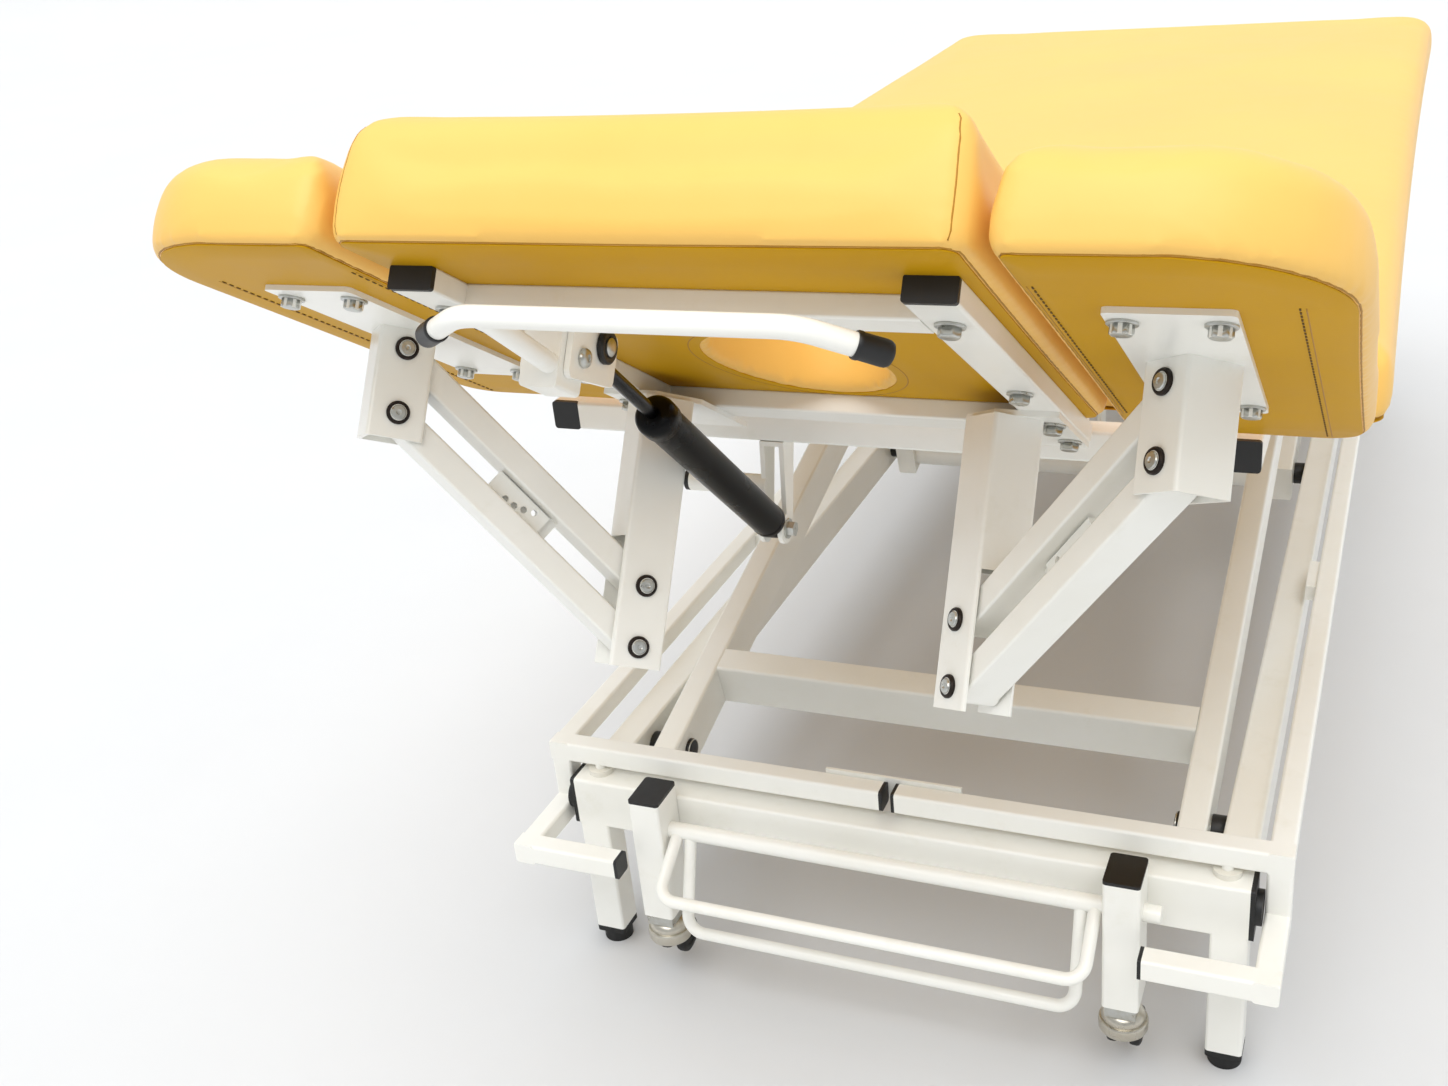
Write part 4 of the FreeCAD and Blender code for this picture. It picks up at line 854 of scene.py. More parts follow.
@dataclass
class Pad:
    """One upholstered pad: an outline, a height and the rolls of its lower and upper edges.

    The body is a stack of outlines. From the bottom up they follow a small quarter circle
    at the lower edge, a side that bellies out by a sine, and an ellipse over the upper edge,
    and then they close over the top while it rises by a parabola to the crown.
    """

    name: str
    node: str
    body: str
    low: tuple[float, float]
    high: tuple[float, float]
    radii: tuple[float, float, float, float]
    bottom: float
    height: float
    place: Callable[[Array], Array]
    under_roll: float = 5 * MM
    top_roll_in: float = 34 * MM
    top_roll_down: float = 26 * MM
    belly: float = 1.2 * MM
    crown: float = 3.0 * MM
    draw: float = 0.003
    voxel: float = 5 * MM
    pressure: float = 4.0
    vinyl_mass: float = 0.4
    tension: float = 25.0
    compression: float = 12.0
    bending: float = 4.0
    cloth_quality: int = 5
    cloth_steps: int = 20
    held_share: float = 0.7
    most_moved: float = 2.5 * MM
    shrink: float = 0.3 * MM
    subdivide: bool = True
    fill: float = 0.9
    hole_centre: float = 0.0
    hole_half_width: float = 0.0
    hole_half_length: float = 0.0
    hole_lip: float = 9 * MM
    panel_inset: float = 6 * MM
    panel_depth: float = 0.5 * MM

    def outline(self, inset: float) -> Array:
        """Outline of the pad at a distance inside its full size."""
        return rounded_outline(self.low, self.high, self.radii, inset + self.shrink, self.draw)

    def hole_outline(self, grow: float) -> Array:
        """Oval of the face hole, with its points facing those of the outline.

        Args:
            grow: distance outside the oval.

        Returns:
            Places (n, 2).
        """
        rim = self.outline(0.0)
        middle = np.array([0.0, self.hole_centre])
        angle = np.arctan2(rim[:, 1] - middle[1], rim[:, 0] - middle[0])
        reach = np.array([self.hole_half_width + grow, self.hole_half_length + grow])
        return middle + reach * np.stack([np.cos(angle), np.sin(angle)], axis=-1)

    def rings(self) -> list[tuple[Array, float]]:
        """Outlines and heights from the lower edge, up the side and over the upper edge.

        Returns:
            Outlines (n, 2), each with its height above the pad's bottom.
        """
        stack = []
        top = self.height - self.crown
        for turn in np.linspace(0, math.pi / 2, 5):
            stack.append((self.outline(self.under_roll * (1 - math.sin(turn))),
                          self.under_roll * (1 - math.cos(turn))))
        side_top = top - self.top_roll_down
        for share in np.linspace(0, 1, 8)[1:-1]:
            stack.append((self.outline(-self.belly * math.sin(math.pi * share)),
                          self.under_roll + share * (side_top - self.under_roll)))
        for turn in np.linspace(0, math.pi / 2, 12):
            stack.append((self.outline(self.top_roll_in * (1 - math.cos(turn))),
                          side_top + self.top_roll_down * math.sin(turn)))
        return stack

    def shell(self) -> Piece:
        """The pad's first surface: the rings, closed over the top or round the face hole.

        Returns:
            The closed surface, in its place on the table.
        """
        stack = self.rings()
        top, height = stack[-1]
        closing = []
        if self.hole_half_width:
            lip = self.hole_lip
            rim, wall = self.hole_outline(0.0), self.hole_outline(lip)
            for share in np.linspace(0, 1, 9)[1:]:
                rise = self.crown * (1 - (1 - share) ** 2) * (1 - share)
                closing.append((top + (wall - top) * share, height + rise))
            for turn in np.linspace(0, math.pi / 2, 6)[1:]:
                closing.append((wall + (rim - wall) * math.sin(turn),
                                height - lip * (1 - math.cos(turn))))
            closing.append((rim, self.under_roll))
            closing.append((rim, 0.0))
            wrap = True
        else:
            middle = (np.array(self.low) + np.array(self.high)) / 2
            for share in np.linspace(0, 1, 14)[1:-1]:
                rise = self.crown * (1 - (1 - share) ** 2)
                closing.append((top + (middle - top) * share, height + rise))
            wrap = False
        points = np.stack([at_level(flat, self.bottom + level) for flat, level in stack + closing])
        return grid_surface(self.name, self.place(points), wrap_rows=wrap)

    def puffed(self, shell: Piece) -> Piece:
        """Shell with its vinyl tightened over the foam by a short inflation of cloth.

        The lower edge is held to the board. No point moves further than the pad's cap.

        Args:
            shell: the pad's first surface, changed in place.

        Returns:
            The same object.
        """
        remesh = shell.modifiers.new("even mesh", "REMESH")
        remesh.mode, remesh.voxel_size, remesh.use_smooth_shade = "VOXEL", self.voxel, True
        fixed_mesh(shell)
        start = vertex_places(shell.data)
        lift = self.lift_of(start)
        held = shell.vertex_groups.new(name="held to the board")
        low = np.flatnonzero(lift < self.bottom + self.under_roll * self.held_share)
        held.add(low.tolist(), 1.0, "REPLACE")
        cloth = shell.modifiers.new("vinyl over foam", "CLOTH")
        cloth.settings.quality = self.cloth_quality
        cloth.settings.mass = self.vinyl_mass
        cloth.settings.tension_stiffness = self.tension
        cloth.settings.compression_stiffness = self.compression
        cloth.settings.bending_stiffness = self.bending
        cloth.settings.use_pressure = True
        cloth.settings.uniform_pressure_force = self.pressure
        cloth.settings.vertex_group_mass = held.name
        cloth.settings.effector_weights.gravity = 0.0
        cloth.collision_settings.use_collision = False
        cloth.point_cache.frame_start, cloth.point_cache.frame_end = 1, self.cloth_steps
        for step in range(1, self.cloth_steps + 1):
            bpy.context.scene.frame_set(step)
        graph = bpy.context.evaluated_depsgraph_get()
        moved = vertex_places(shell.evaluated_get(graph).to_mesh())
        shell.modifiers.remove(cloth)
        shell.vertex_groups.clear()
        bpy.context.scene.frame_set(1)
        shift = self.evened(shell, moved - start)
        length = np.linalg.norm(shift, axis=1, keepdims=True)
        shift *= np.minimum(1.0, self.most_moved / np.maximum(length, 1e-9))
        shell.data.vertices.foreach_set("co", (start + shift).ravel())
        shell.data.update()
        return shell

    def evened(self, shell: Piece, shift: Array, rounds: int = 12) -> Array:
        """Evens a movement out: every vertex takes half of its neighbours' mean in each round.

        Args:
            shell: the object whose edges tell the neighbours.
            shift: movement (n, 3) of its vertices.
            rounds: how often it is evened.

        Returns:
            The even movement (n, 3).
        """
        ends = np.empty(len(shell.data.edges) * 2, dtype=int)
        shell.data.edges.foreach_get("vertices", ends)
        first, second = ends.reshape(-1, 2).T
        count = np.bincount(ends, minlength=len(shift))[:, None]
        for _ in range(rounds):
            total = np.zeros_like(shift)
            np.add.at(total, first, shift[second])
            np.add.at(total, second, shift[first])
            shift = (shift + total / np.maximum(count, 1)) / 2
        return shift

    def lift_of(self, points: Array) -> Array:
        """Height of places above the pad's own flat frame."""
        origin, up = self.place(np.zeros(3)), self.place(np.array([0.0, 0.0, 1.0]))
        return (points - origin) @ (up - origin)

    def build(self) -> Piece:
        """Returns:
            The pad's object.
        """
        pad = self.puffed(self.shell())
        smooth = pad.modifiers.new("even skin", "SMOOTH")
        smooth.factor, smooth.iterations = 0.5, 2
        fixed_mesh(pad)
        if self.subdivide:
            finer = pad.modifiers.new("finer skin", "SUBSURF")
            finer.levels = finer.render_levels = 1
        pad.data.polygons.foreach_set("use_smooth", np.full(len(pad.data.polygons), True))
        # The panel under the board wears darker vinyl: painted shade of the underside.
        dress(self.panel(), Slot.YELLOW_VINYL, self.body, UNDERSIDE_VINYL_PAINTED_SHADE)
        return dress(pad, Slot.YELLOW_VINYL, self.body, replaced=(self.node,))

    def panel(self) -> Piece:
        """Panel of the cover under the board: a sheet with a turned rim inside the lower edge.

        Its outlines go from the edge, over the rim, inwards to the middle or to the face hole.

        Returns:
            The panel's object.
        """
        full, depth = self.outline(self.panel_inset), self.panel_depth
        turned = self.outline(self.panel_inset + depth)
        stack = [(full, depth), (full, -0.4 * depth), (turned, -depth)]
        wrap = bool(self.hole_half_width)
        if wrap:
            inner = self.hole_outline(self.panel_inset + depth)
            lip = self.hole_outline(self.panel_inset)
            inside = [(turned + (inner - turned) * share, -depth)
                      for share in np.linspace(0, 1, 6)[1:]]
            stack += inside + [(lip, -0.4 * depth), (lip, depth)]
        else:
            middle = (np.array(self.low) + np.array(self.high)) / 2
            stack += [(turned + (middle - turned) * share, -depth)
                      for share in np.linspace(0, 0.95, 8)[1:]]
        points = np.stack([at_level(flat, self.bottom + level) for flat, level in stack])
        return grid_surface(self.name + "_panel", self.place(points), wrap_rows=wrap)

    def seam(self, tag: str, flat_path: Array, radius: float = 0.6 * MM, closed: bool = False,
             spacing: float = 6 * MM, sink: float = 0.25 * MM, under: bool = False) -> Piece:
        """Sewn seam: a thin folded roll laid half into the pad's surface.

        Args:
            tag: end of the piece's name.
            flat_path: places (n, 3) in the pad's own flat frame, near its surface.
            radius: radius of the roll.
            closed: whether it runs all round.
            spacing: distance between its points.
            sink: how deep its middle lies under the surface.
            under: whether it lies on the underside's panel.

        Returns:
            The seam's object.
        """
        pad = bpy.data.objects[self.name + ("_panel" if under else "")]
        path = laid_on(evenly(self.place(flat_path), spacing, closed), pad, -sink)
        roll = tube(self.name + "_" + tag, path, radius, 8, closed)
        # The roll's dark brown is painted shade in the seam's crease.
        return dress(roll, Slot.YELLOW_VINYL, self.body, SEAM_VINYL_PAINTED_CREASE_SHADE)

    def stitches(self, tag: str, flat_path: Array, pitch: float = 7 * MM, length: float = 4 * MM,
                 radius: float = 0.55 * MM, bow: float = 0.25 * MM) -> Piece:
        """Row of stitches in the underside: short threads that bow out between their holes.

        Each stitch is a tube along a parabola over the surface, from hole to hole.

        Args:
            tag: end of the piece's name.
            flat_path: places (n, 3) in the pad's own flat frame, near its underside.
            pitch: distance from stitch to stitch.
            length: length of a stitch.
            radius: radius of the thread.
            bow: height of the middle of a stitch over the surface.

        Returns:
            The row's object.
        """
        pad = bpy.data.objects[self.name + "_panel"]
        path = laid_on(evenly(self.place(flat_path), pitch), pad, 0.0)
        ahead = np.diff(path, axis=0)
        ahead /= np.linalg.norm(ahead, axis=1, keepdims=True)
        raised = laid_on(path[:-1] + ahead * length / 2, pad, bow)
        share = np.linspace(0, 1, 5)[None, :, None]
        runs = path[:-1, None] + ahead[:, None] * length * share
        runs = runs + 4 * share * (1 - share) * (raised - path[:-1] - ahead * length / 2)[:, None]
        side = np.cross(ahead, raised - path[:-1] + 1e-9)
        side /= np.linalg.norm(side, axis=1, keepdims=True)
        other = np.cross(ahead, side)
        points = runs[:, :, None] + radius * circle(side, other, 6)[:, None]
        rows, count = points.shape[1:3]
        one, ends = grid_faces(rows, count), end_faces(rows, count)
        offsets = (np.arange(len(points)) * rows * count)[:, None, None]
        faces = (one[None] + offsets).reshape(-1, 4).tolist()
        faces += (ends[None] + offsets).reshape(-1, count).tolist()
        row = make_object(self.name + "_" + tag, points, faces)
        face_outwards(row)
        return dress(row, Slot.YELLOW_VINYL, self.body, THREAD)


@dataclass
class Upholstery:
    """The four vinyl pads with their seams."""

    table_half: float = 376 * MM
    main_start: float = 84 * MM
    main_length: float = 1580 * MM
    main_height: float = 67.5 * MM
    head_half: float = 187 * MM
    head_front: float = -50 * MM
    head_rear: float = 385 * MM
    head_height: float = 82 * MM
    rest_inner: float = 195 * MM
    rest_outer: float = 365 * MM
    rest_front: float = -49 * MM
    rest_rear: float = 402 * MM
    rest_under: float = -2 * MM
    rest_height: float = 64 * MM
    seam_inset: float = 5 * MM

    def main_pad(self) -> Pad:
        """Long pad of the table.

        Returns:
            The pad's sizes.
        """
        front = PLACES.front + self.main_start
        return Pad(
            name="cushion_main", node="main_cushion", body="top", low=(-self.table_half, front),
            high=(self.table_half, front + self.main_length),
            radii=(22 * MM, 22 * MM, 55 * MM, 55 * MM), bottom=PLACES.frame_top,
            height=self.main_height, place=lambda points: np.asarray(points, float),
            top_roll_in=28 * MM, top_roll_down=24 * MM, crown=7 * MM, voxel=7 * MM,
            subdivide=False)

    def head_pad(self) -> Pad:
        """Head pad with its face hole.

        Returns:
            The pad's sizes.
        """
        return Pad(
            name="cushion_head", node="head_cushion", body="head",
            low=(-self.head_half, self.head_front), high=(self.head_half, self.head_rear),
            radii=(16 * MM,) * 4, bottom=0.0, height=self.head_height, place=PLACES.head,
            top_roll_in=24 * MM, top_roll_down=28 * MM, hole_centre=238 * MM,
            hole_half_width=58 * MM, hole_half_length=86 * MM)

    def rest_pad(self, side: str) -> Pad:
        """Armrest pad of one side, with its wide outer corners.

        Args:
            side: right or left.

        Returns:
            The pad's sizes.
        """
        right = side == "right"
        low, high = self.rest_inner, self.rest_outer
        if not right:
            low, high = -high, -low
        front = (12 * MM, 96 * MM) if right else (96 * MM, 12 * MM)
        rear = (34 * MM, 12 * MM) if right else (12 * MM, 34 * MM)
        return Pad(
            name="cushion_armrest_" + side, node="armrest_cushion_" + side,
            body="armrest_" + side, low=(low, self.rest_front), high=(high, self.rest_rear),
            radii=front + rear, bottom=self.rest_under, height=self.rest_height,
            place=PLACES.head, top_roll_in=30 * MM, top_roll_down=28 * MM, crown=3 * MM)

    def under_seam(self, pad: Pad) -> None:
        """Seam just inside the lower edge of a pad, where the cover turns under.

        Args:
            pad: the pad, already built.
        """
        flat = rounded_outline(pad.low, pad.high, pad.radii, self.seam_inset, pad.draw)
        pad.seam("under_seam", at_level(flat, pad.bottom), closed=True)

    def build(self) -> None:
        """Makes the pads and their seams."""
        main_pad, head_pad = self.main_pad(), self.head_pad()
        rests = [self.rest_pad("right"), self.rest_pad("left")]
        for pad in (main_pad, head_pad, *rests):
            pad.build()
            self.under_seam(pad)
        self.head_seams(head_pad)
        for pad, turn in zip(rests, (1, -1)):
            self.rest_seams(pad, turn)

    def head_seams(self, pad: Pad) -> None:
        """Upright seams at the corners of the head pad and round seams at its face hole.

        Args:
            pad: the head pad, already built.
        """
        steps = 24
        rise = np.linspace(2 * MM, pad.height - 2 * MM, steps)
        for tag, turn in (("right", 1), ("left", -1)):
            for end, s in (("front", pad.low[1]), ("rear", pad.high[1])):
                x = turn * (self.head_half - 7 * MM)
                path = np.column_stack([np.full(steps, x), np.full(steps, s), rise])
                pad.seam("corner_seam_%s_%s" % (end, tag), path, radius=0.55 * MM)
        around, reach = 72, 14 * MM
        angle = np.linspace(0, 2 * math.pi, around, endpoint=False)
        x = (pad.hole_half_width + reach) * np.cos(angle)
        s = pad.hole_centre + (pad.hole_half_length + reach) * np.sin(angle)
        oval = np.column_stack([x, s])
        under, over = at_level(oval, -2 * pad.panel_depth), at_level(oval, pad.height)
        pad.seam("face_hole_under_seam", under, radius=0.55 * MM, closed=True, under=True)
        pad.seam("face_hole_top_seam", over, radius=0.55 * MM, closed=True)

    def rest_seams(self, pad: Pad, turn: int) -> None:
        """Seams and stitches along the underside of an armrest pad.

        Args:
            pad: the armrest pad, already built.
            turn: 1 on the right and -1 on the left.
        """
        inner = self.rest_inner + 9 * MM
        outer = self.rest_outer - 30 * MM
        runs = (("inner", inner, inner, 10 * MM, 340 * MM),
                ("outer", outer, self.rest_outer - 26 * MM, 40 * MM, self.rest_rear - 12 * MM))
        share = np.linspace(0, 1, 60)
        for tag, start_x, end_x, start_s, end_s in runs:
            x = turn * (start_x + (end_x - start_x) * share)
            s = start_s + (end_s - start_s) * share
            path = at_level(np.column_stack([x, s]), pad.bottom - 2 * pad.panel_depth)
            pad.seam("under_%s_seam" % tag, path, radius=0.5 * MM, under=True)
            beside = path - np.array([turn * 3 * MM if tag == "outer" else -turn * 3 * MM, 0, 0])
            pad.stitches("under_%s_stitches" % tag, beside)


# Fasteners


@dataclass(frozen=True)
class Bolt:
    """Hexagon head on a washer with a chamfered crown."""

    across_corners: float = 6.7 * MM
    head: float = 5.7 * MM
    washer: float = 8.7 * MM
    washer_thickness: float = 1.7 * MM

    def piece(self, name: str, place: Array, direction: Array) -> Piece:
        """Washer and head at a place on a face.

        The head's rim is a hexagon: the corner radius times the cosine of 30 degrees over
        the cosine of the angle from the nearest flat. Near the crown it is cut by a circle.

        Args:
            name: the piece's name.
            place: middle of the washer's foot.
            direction: direction of the head.

        Returns:
            The bolt's object.
        """
        along, side, other = cross_axes(direction)
        steps = 48
        turn = np.linspace(0, 2 * math.pi, steps, endpoint=False)
        folded = np.mod(turn, math.pi / 3) - math.pi / 6
        hexagon = self.across_corners * math.cos(math.pi / 6) / np.cos(folded)
        flat = self.across_corners * math.cos(math.pi / 6)
        levels = [(0.0, hexagon), (self.head * 0.78, hexagon),
                  (self.head * 0.92, np.minimum(hexagon, flat * 1.05)),
                  (self.head, np.minimum(hexagon, flat * 0.9)), (self.head, hexagon * 0.2)]
        ring = circle(side, other, steps)
        foot = np.asarray(place, float) + along * self.washer_thickness
        points = np.stack([foot + along * height + radius[:, None] * ring
                           for height, radius in levels])
        head = grid_surface(name + " head", points)
        edge, top = 0.3 * MM, self.washer_thickness
        profile = [(self.washer - edge, 0), (self.washer, edge), (self.washer, top - edge),
                   (self.washer - edge, top)]
        washer = lathe(name + " washer", profile, place, direction)
        piece = joined(name, [washer, head])
        sharpen(piece)
        return piece


@dataclass
class Fasteners:
    """Bolts, pins and their bushes on the head section and armrests."""

    rail_x: float = 157.5 * MM
    post_bolt_x: float = 163.0 * MM
    rail_under: float = -15 * MM
    plate_under: float = -19 * MM
    rail_rows: tuple[float, float] = (45 * MM, 224 * MM)
    post_rows: tuple[float, float] = (310 * MM, 374 * MM)
    rest_columns: tuple[float, float] = (244 * MM, 294 * MM)
    rest_rows: tuple[float, float] = (64 * MM, 279 * MM)
    rest_under: float = -6 * MM
    post_x: float = 131.5 * MM
    post_s: float = 299 * MM
    post_pin: float = -160.2 * MM
    pin_spacing: float = 45.5 * MM
    tube_half: float = 20 * MM
    link_length: float = 242 * MM
    link_rise: float = math.radians(35.5)

    def build(self) -> None:
        """Makes every bolt and pin."""
        down = PLACES.head_direction((0, 0, -1))
        bolt = Bolt()
        places = []
        for turn in (1, -1):
            places += [(turn * self.rail_x, s, self.rail_under) for s in self.rail_rows]
            places += [(turn * self.post_bolt_x, s, self.plate_under) for s in self.post_rows]
        heads = [bolt.piece("bolt", PLACES.head(place), down) for place in places]
        dress(joined("head_section_bolts", heads), Slot.ZINC_STEEL, "head",
              replaced=("head_bolts",))
        for side, turn in (("right", 1), ("left", -1)):
            places = [(turn * x, s, self.rest_under) for x in self.rest_columns
                      for s in self.rest_rows]
            heads = [bolt.piece("bolt", PLACES.head(place), down) for place in places]
            dress(joined("armrest_bolts_" + side, heads), Slot.ZINC_STEEL, "armrest_" + side)
            run = self.link_length * math.cos(self.link_rise) / math.sqrt(2)
            rise = self.link_length * math.sin(self.link_rise)
            self.pins("post_pins_" + side, turn, self.post_x, self.post_s, self.post_pin, "head")
            self.pins("bracket_pins_" + side, turn, self.post_x + run, self.post_s - run,
                      self.post_pin + rise, "armrest_" + side)

    def pins(self, name: str, turn: int, x: float, s: float, lift: float, body: str) -> None:
        """Blued bush rings and bright pin ends on both cheeks of a fork.

        Args:
            name: start of the pieces' names.
            turn: 1 on the right and -1 on the left.
            x: distance of the fork from the middle.
            s: distance along the head section.
            lift: height of the upper pin.
            body: the CAD body of the fork.
        """
        side = np.array([turn, 1.0, 0.0]) / math.sqrt(2)
        bush = in_metres([(5.2, -0.2), (8.2, -0.2), (8.2, 1.6), (7.4, 2.7), (6.2, 2.9),
                          (5.4, 2.2)])
        pin_end = in_metres([(5.3, 0.0), (5.3, 3.0), (4.6, 3.9), (2.0, 4.1), (1.2, 3.4)])
        rings, ends = [], []
        for row in (0, 1):
            for way in (1, -1):
                middle = np.array([turn * x, s, lift - row * self.pin_spacing])
                face = middle + side * way * self.tube_half
                place, direction = PLACES.head(face), PLACES.head_direction(side * way)
                rings.append(lathe("ring", bush, place, direction, 32))
                ends.append(lathe("end", pin_end, place, direction, 32))
        ring, end = joined(name + "_bushes", rings), joined(name + "_ends", ends)
        sharpen(ring)
        sharpen(end)
        dress(ring, Slot.ZINC_STEEL, body, BUSH_STEEL)
        dress(end, Slot.ZINC_STEEL, body)


# Casters


@dataclass
class Casters:
    """Plated hoods and twin wheels under the posts."""

    x: float = 211 * MM
    y: float = -20 * MM
    trail: float = 13 * MM
    wheel_radius: float = 17 * MM
    wheel_height: float = 37 * MM
    wheel_inner: float = 3.8 * MM
    wheel_width: float = 11 * MM
    half_axle: float = 14.8 * MM

    def hood(self, name: str, x: float, y: float, way: int) -> Piece:
        """Domed hood over a lipped ring, with the strut that carries the wheels' axle.

        Args:
            name: the piece's name.
            x: place of the stem across the table.
            y: place of the stem along the table.
            way: direction in which the wheels trail, 1 or -1.

        Returns:
            The hood's object.
        """
        outer = [(5.0, 67.5), (9.0, 67.3), (13.6, 66.0), (16.8, 63.2), (18.2, 60.0),
                 (18.5, 57.4), (18.1, 56.6), (19.6, 56.2), (20.4, 55.2), (20.6, 53.6),
                 (20.5, 47.0), (20.0, 45.9)]
        inner = [(19.0, 45.9), (18.6, 47.4), (18.0, 55.0), (14.0, 60.2), (5.0, 62.6)]
        dome = lathe("dome", in_metres(outer + inner), (x, y, 0), (0, 0, 1), 56)
        self.notch(dome, x, y + way * self.trail)
        share = np.linspace(0, 1, 14)[:, None]
        top, low = np.array([x, y, 62 * MM]), np.array([x, y + way * self.trail, self.wheel_height])
        bow = np.array([0.0, way * 4 * MM, 6 * MM]) * 4 * share * (1 - share)
        strut = tube("strut", top + (low - top) * share + bow, 3.2 * MM, 16)
        end = [(4.6, 66.0), (5.0, 66.4), (5.0, 76.4), (4.4, 77.0)]
        stem = lathe("stem", in_metres(end), (x, y, 0), (0, 0, 1), 24)
        return joined(name, [dome, strut, stem])

    def notch(self, dome: Piece, x: float, y: float) -> None:
        """Cuts an arch out of the back of the hood, where the wheels pass under its lip.

        Args:
            dome: the hood's dome, changed in place.
            x: middle of the axle across the table.
            y: middle of the axle along the table.
        """
        reach = self.wheel_radius + 1.4 * MM
        half = self.wheel_inner + self.wheel_width + 0.8 * MM
        cutter = lathe("well", [(MM, 0), (reach, 0), (reach, 2 * half), (MM, 2 * half)],
                       (x - half, y, self.wheel_height), (1, 0, 0), 64)
        cut = dome.modifiers.new("wheel arch", "BOOLEAN")
        cut.operation, cut.solver, cut.object = "DIFFERENCE", "EXACT", cutter
        fixed_mesh(dome)
        bpy.data.objects.remove(cutter)

    def wheels(self, name: str, x: float, y: float) -> Piece:
        """Twin wheels with rounded treads and dished hubs on one axle.

        Args:
            name: the piece's name.
            x: middle of the axle across the table.
            y: middle of the axle along the table.

        Returns:
            The wheels' object.
        """
        profile = in_metres([(2.6, 0.0), (9.5, 0.0), (10.5, 0.9), (14.6, 0.9), (16.4, 1.8),
                             (17.0, 3.6), (17.0, 7.4), (16.4, 9.2), (14.6, 10.3), (10.8, 10.3),
                             (10.0, 9.0), (4.2, 9.0), (3.6, 10.6), (2.6, 11.0)])
        parts = []
        for way in (1, -1):
            place = (x + way * self.wheel_inner, y, self.wheel_height)
            parts.append(lathe("wheel", profile, place, (way, 0, 0), 44))
        axle = in_metres([(2.7, 0.0), (2.9, 0.3), (2.9, 29.3), (2.7, 29.6)])
        start = (x - self.half_axle, y, self.wheel_height)
        parts.append(lathe("axle", axle, start, (1, 0, 0), 24))
        piece = joined(name, parts)
        sharpen(piece)
        return piece

    def build(self) -> None:
        """Dresses the four casters."""
        for end in ("front", "rear"):
            for side, turn in (("right", 1), ("left", -1)):
                tag = end + "_" + side
                way = 1 if end == "front" else -1
                middle = self.y if end == "front" else PLACES.base_length - self.y
                x, y = turn * self.x, PLACES.front + middle
                hood = self.hood("caster_hood_" + tag, x, y, way)
                sharpen(hood)
                swivel, wheels = "caster_swivel_" + tag, "caster_wheels_" + tag
                dress(hood, Slot.HOOD_CHROME, swivel, replaced=(swivel,))
                twin = self.wheels("caster_twin_wheels_" + tag, x, y + way * self.trail)
                dress(twin, Slot.BLACK_RUBBER, wheels, replaced=(wheels,))


# Gas spring and handle


@dataclass
class GasSpringTrim:
    """Collar and crimps of the gas cylinder, the heads of its pins and the box's screws."""

    plane: float = -90 * MM
    bolt_y: float = 38 * MM
    bolt_z: float = 455 * MM
    pin_s: float = 91.5 * MM
    pin_lift: float = -24.7 * MM
    cylinder_end: float = 260 * MM
    half_cheeks: float = 17 * MM
    box_pin_s: float = 67 * MM
    box_pin_lift: float = -37.2 * MM
    box_pin_head: float = 2 * MM

    def build(self) -> None:
        """Makes the turned trim along the cylinder."""
        bolt = np.array([self.plane, PLACES.front + self.bolt_y, self.bolt_z])
        pin = PLACES.head((self.plane, self.pin_s, self.pin_lift))
        along = (pin - bolt) / np.linalg.norm(pin - bolt)
        end = bolt + along * self.cylinder_end
        rolled = in_metres([(14.1, -16), (15.2, -15), (15.4, -5), (14.6, -1.5), (12.4, 1.4),
                            (8.0, 2.6), (5.3, 2.6)])
        crimped = in_metres([(9.5, -4), (12.6, -2.5), (14.3, 1), (14.3, 6), (13.9, 7)])
        collar = lathe("gas_cylinder_collar", rolled, end, along, 44)
        crimp = lathe("gas_cylinder_foot", crimped, bolt + along * 17 * MM, along, 44)
        for piece in (collar, crimp):
            sharpen(piece, 50)
            dress(piece, Slot.BLACK_ENAMEL, "gas_cylinder")
        self.pin_heads(pin)
        self.box_screws()

    def box_screws(self) -> None:
        """Domed screws with a dimple, on the ends of the pin that the release box turns on."""
        profile = in_metres([(5.6, -1.9), (6.2, -1.5), (6.2, -0.2), (5.4, 1.2), (3.6, 2.1),
                             (2.5, 2.2), (2.2, 1.2), (0.6, 1.0)])
        screws = []
        for way in (1, -1):
            reach = self.plane + way * (self.half_cheeks + self.box_pin_head)
            place = PLACES.head((reach, self.box_pin_s, self.box_pin_lift))
            screws.append(lathe("screw", profile, place, (way, 0, 0), 32))
        piece = joined("release_box_screws", screws)
        sharpen(piece, 40)
        dress(piece, Slot.ZINC_STEEL, "head")

    def pin_heads(self, pin: Array) -> None:
        """Bright pin heads inside black rings on both cheeks of the release housing.

        Args:
            pin: middle of the pin.
        """
        dished = in_metres([(6.0, 2.9), (7.0, 4.0), (9.6, 4.0), (10.8, 3.0), (10.8, 0.2),
                            (6.0, 0.2)])
        domed = in_metres([(5.9, 2.6), (5.9, 4.8), (4.8, 5.6), (1.5, 5.8)])
        rings, heads = [], []
        for way in (1, -1):
            face = pin + np.array([way * (self.half_cheeks + 0.3 * MM), 0, 0])
            rings.append(lathe("ring", dished, face, (way, 0, 0), 40))
            heads.append(lathe("head", domed, face, (way, 0, 0), 32))
        ring, head = joined("gas_pin_rings", rings), joined("gas_pin_heads", heads)
        sharpen(ring)
        sharpen(head)
        dress(ring, Slot.BLACK_PLASTIC, "gas_rod")
        dress(head, Slot.ZINC_STEEL, "gas_rod")


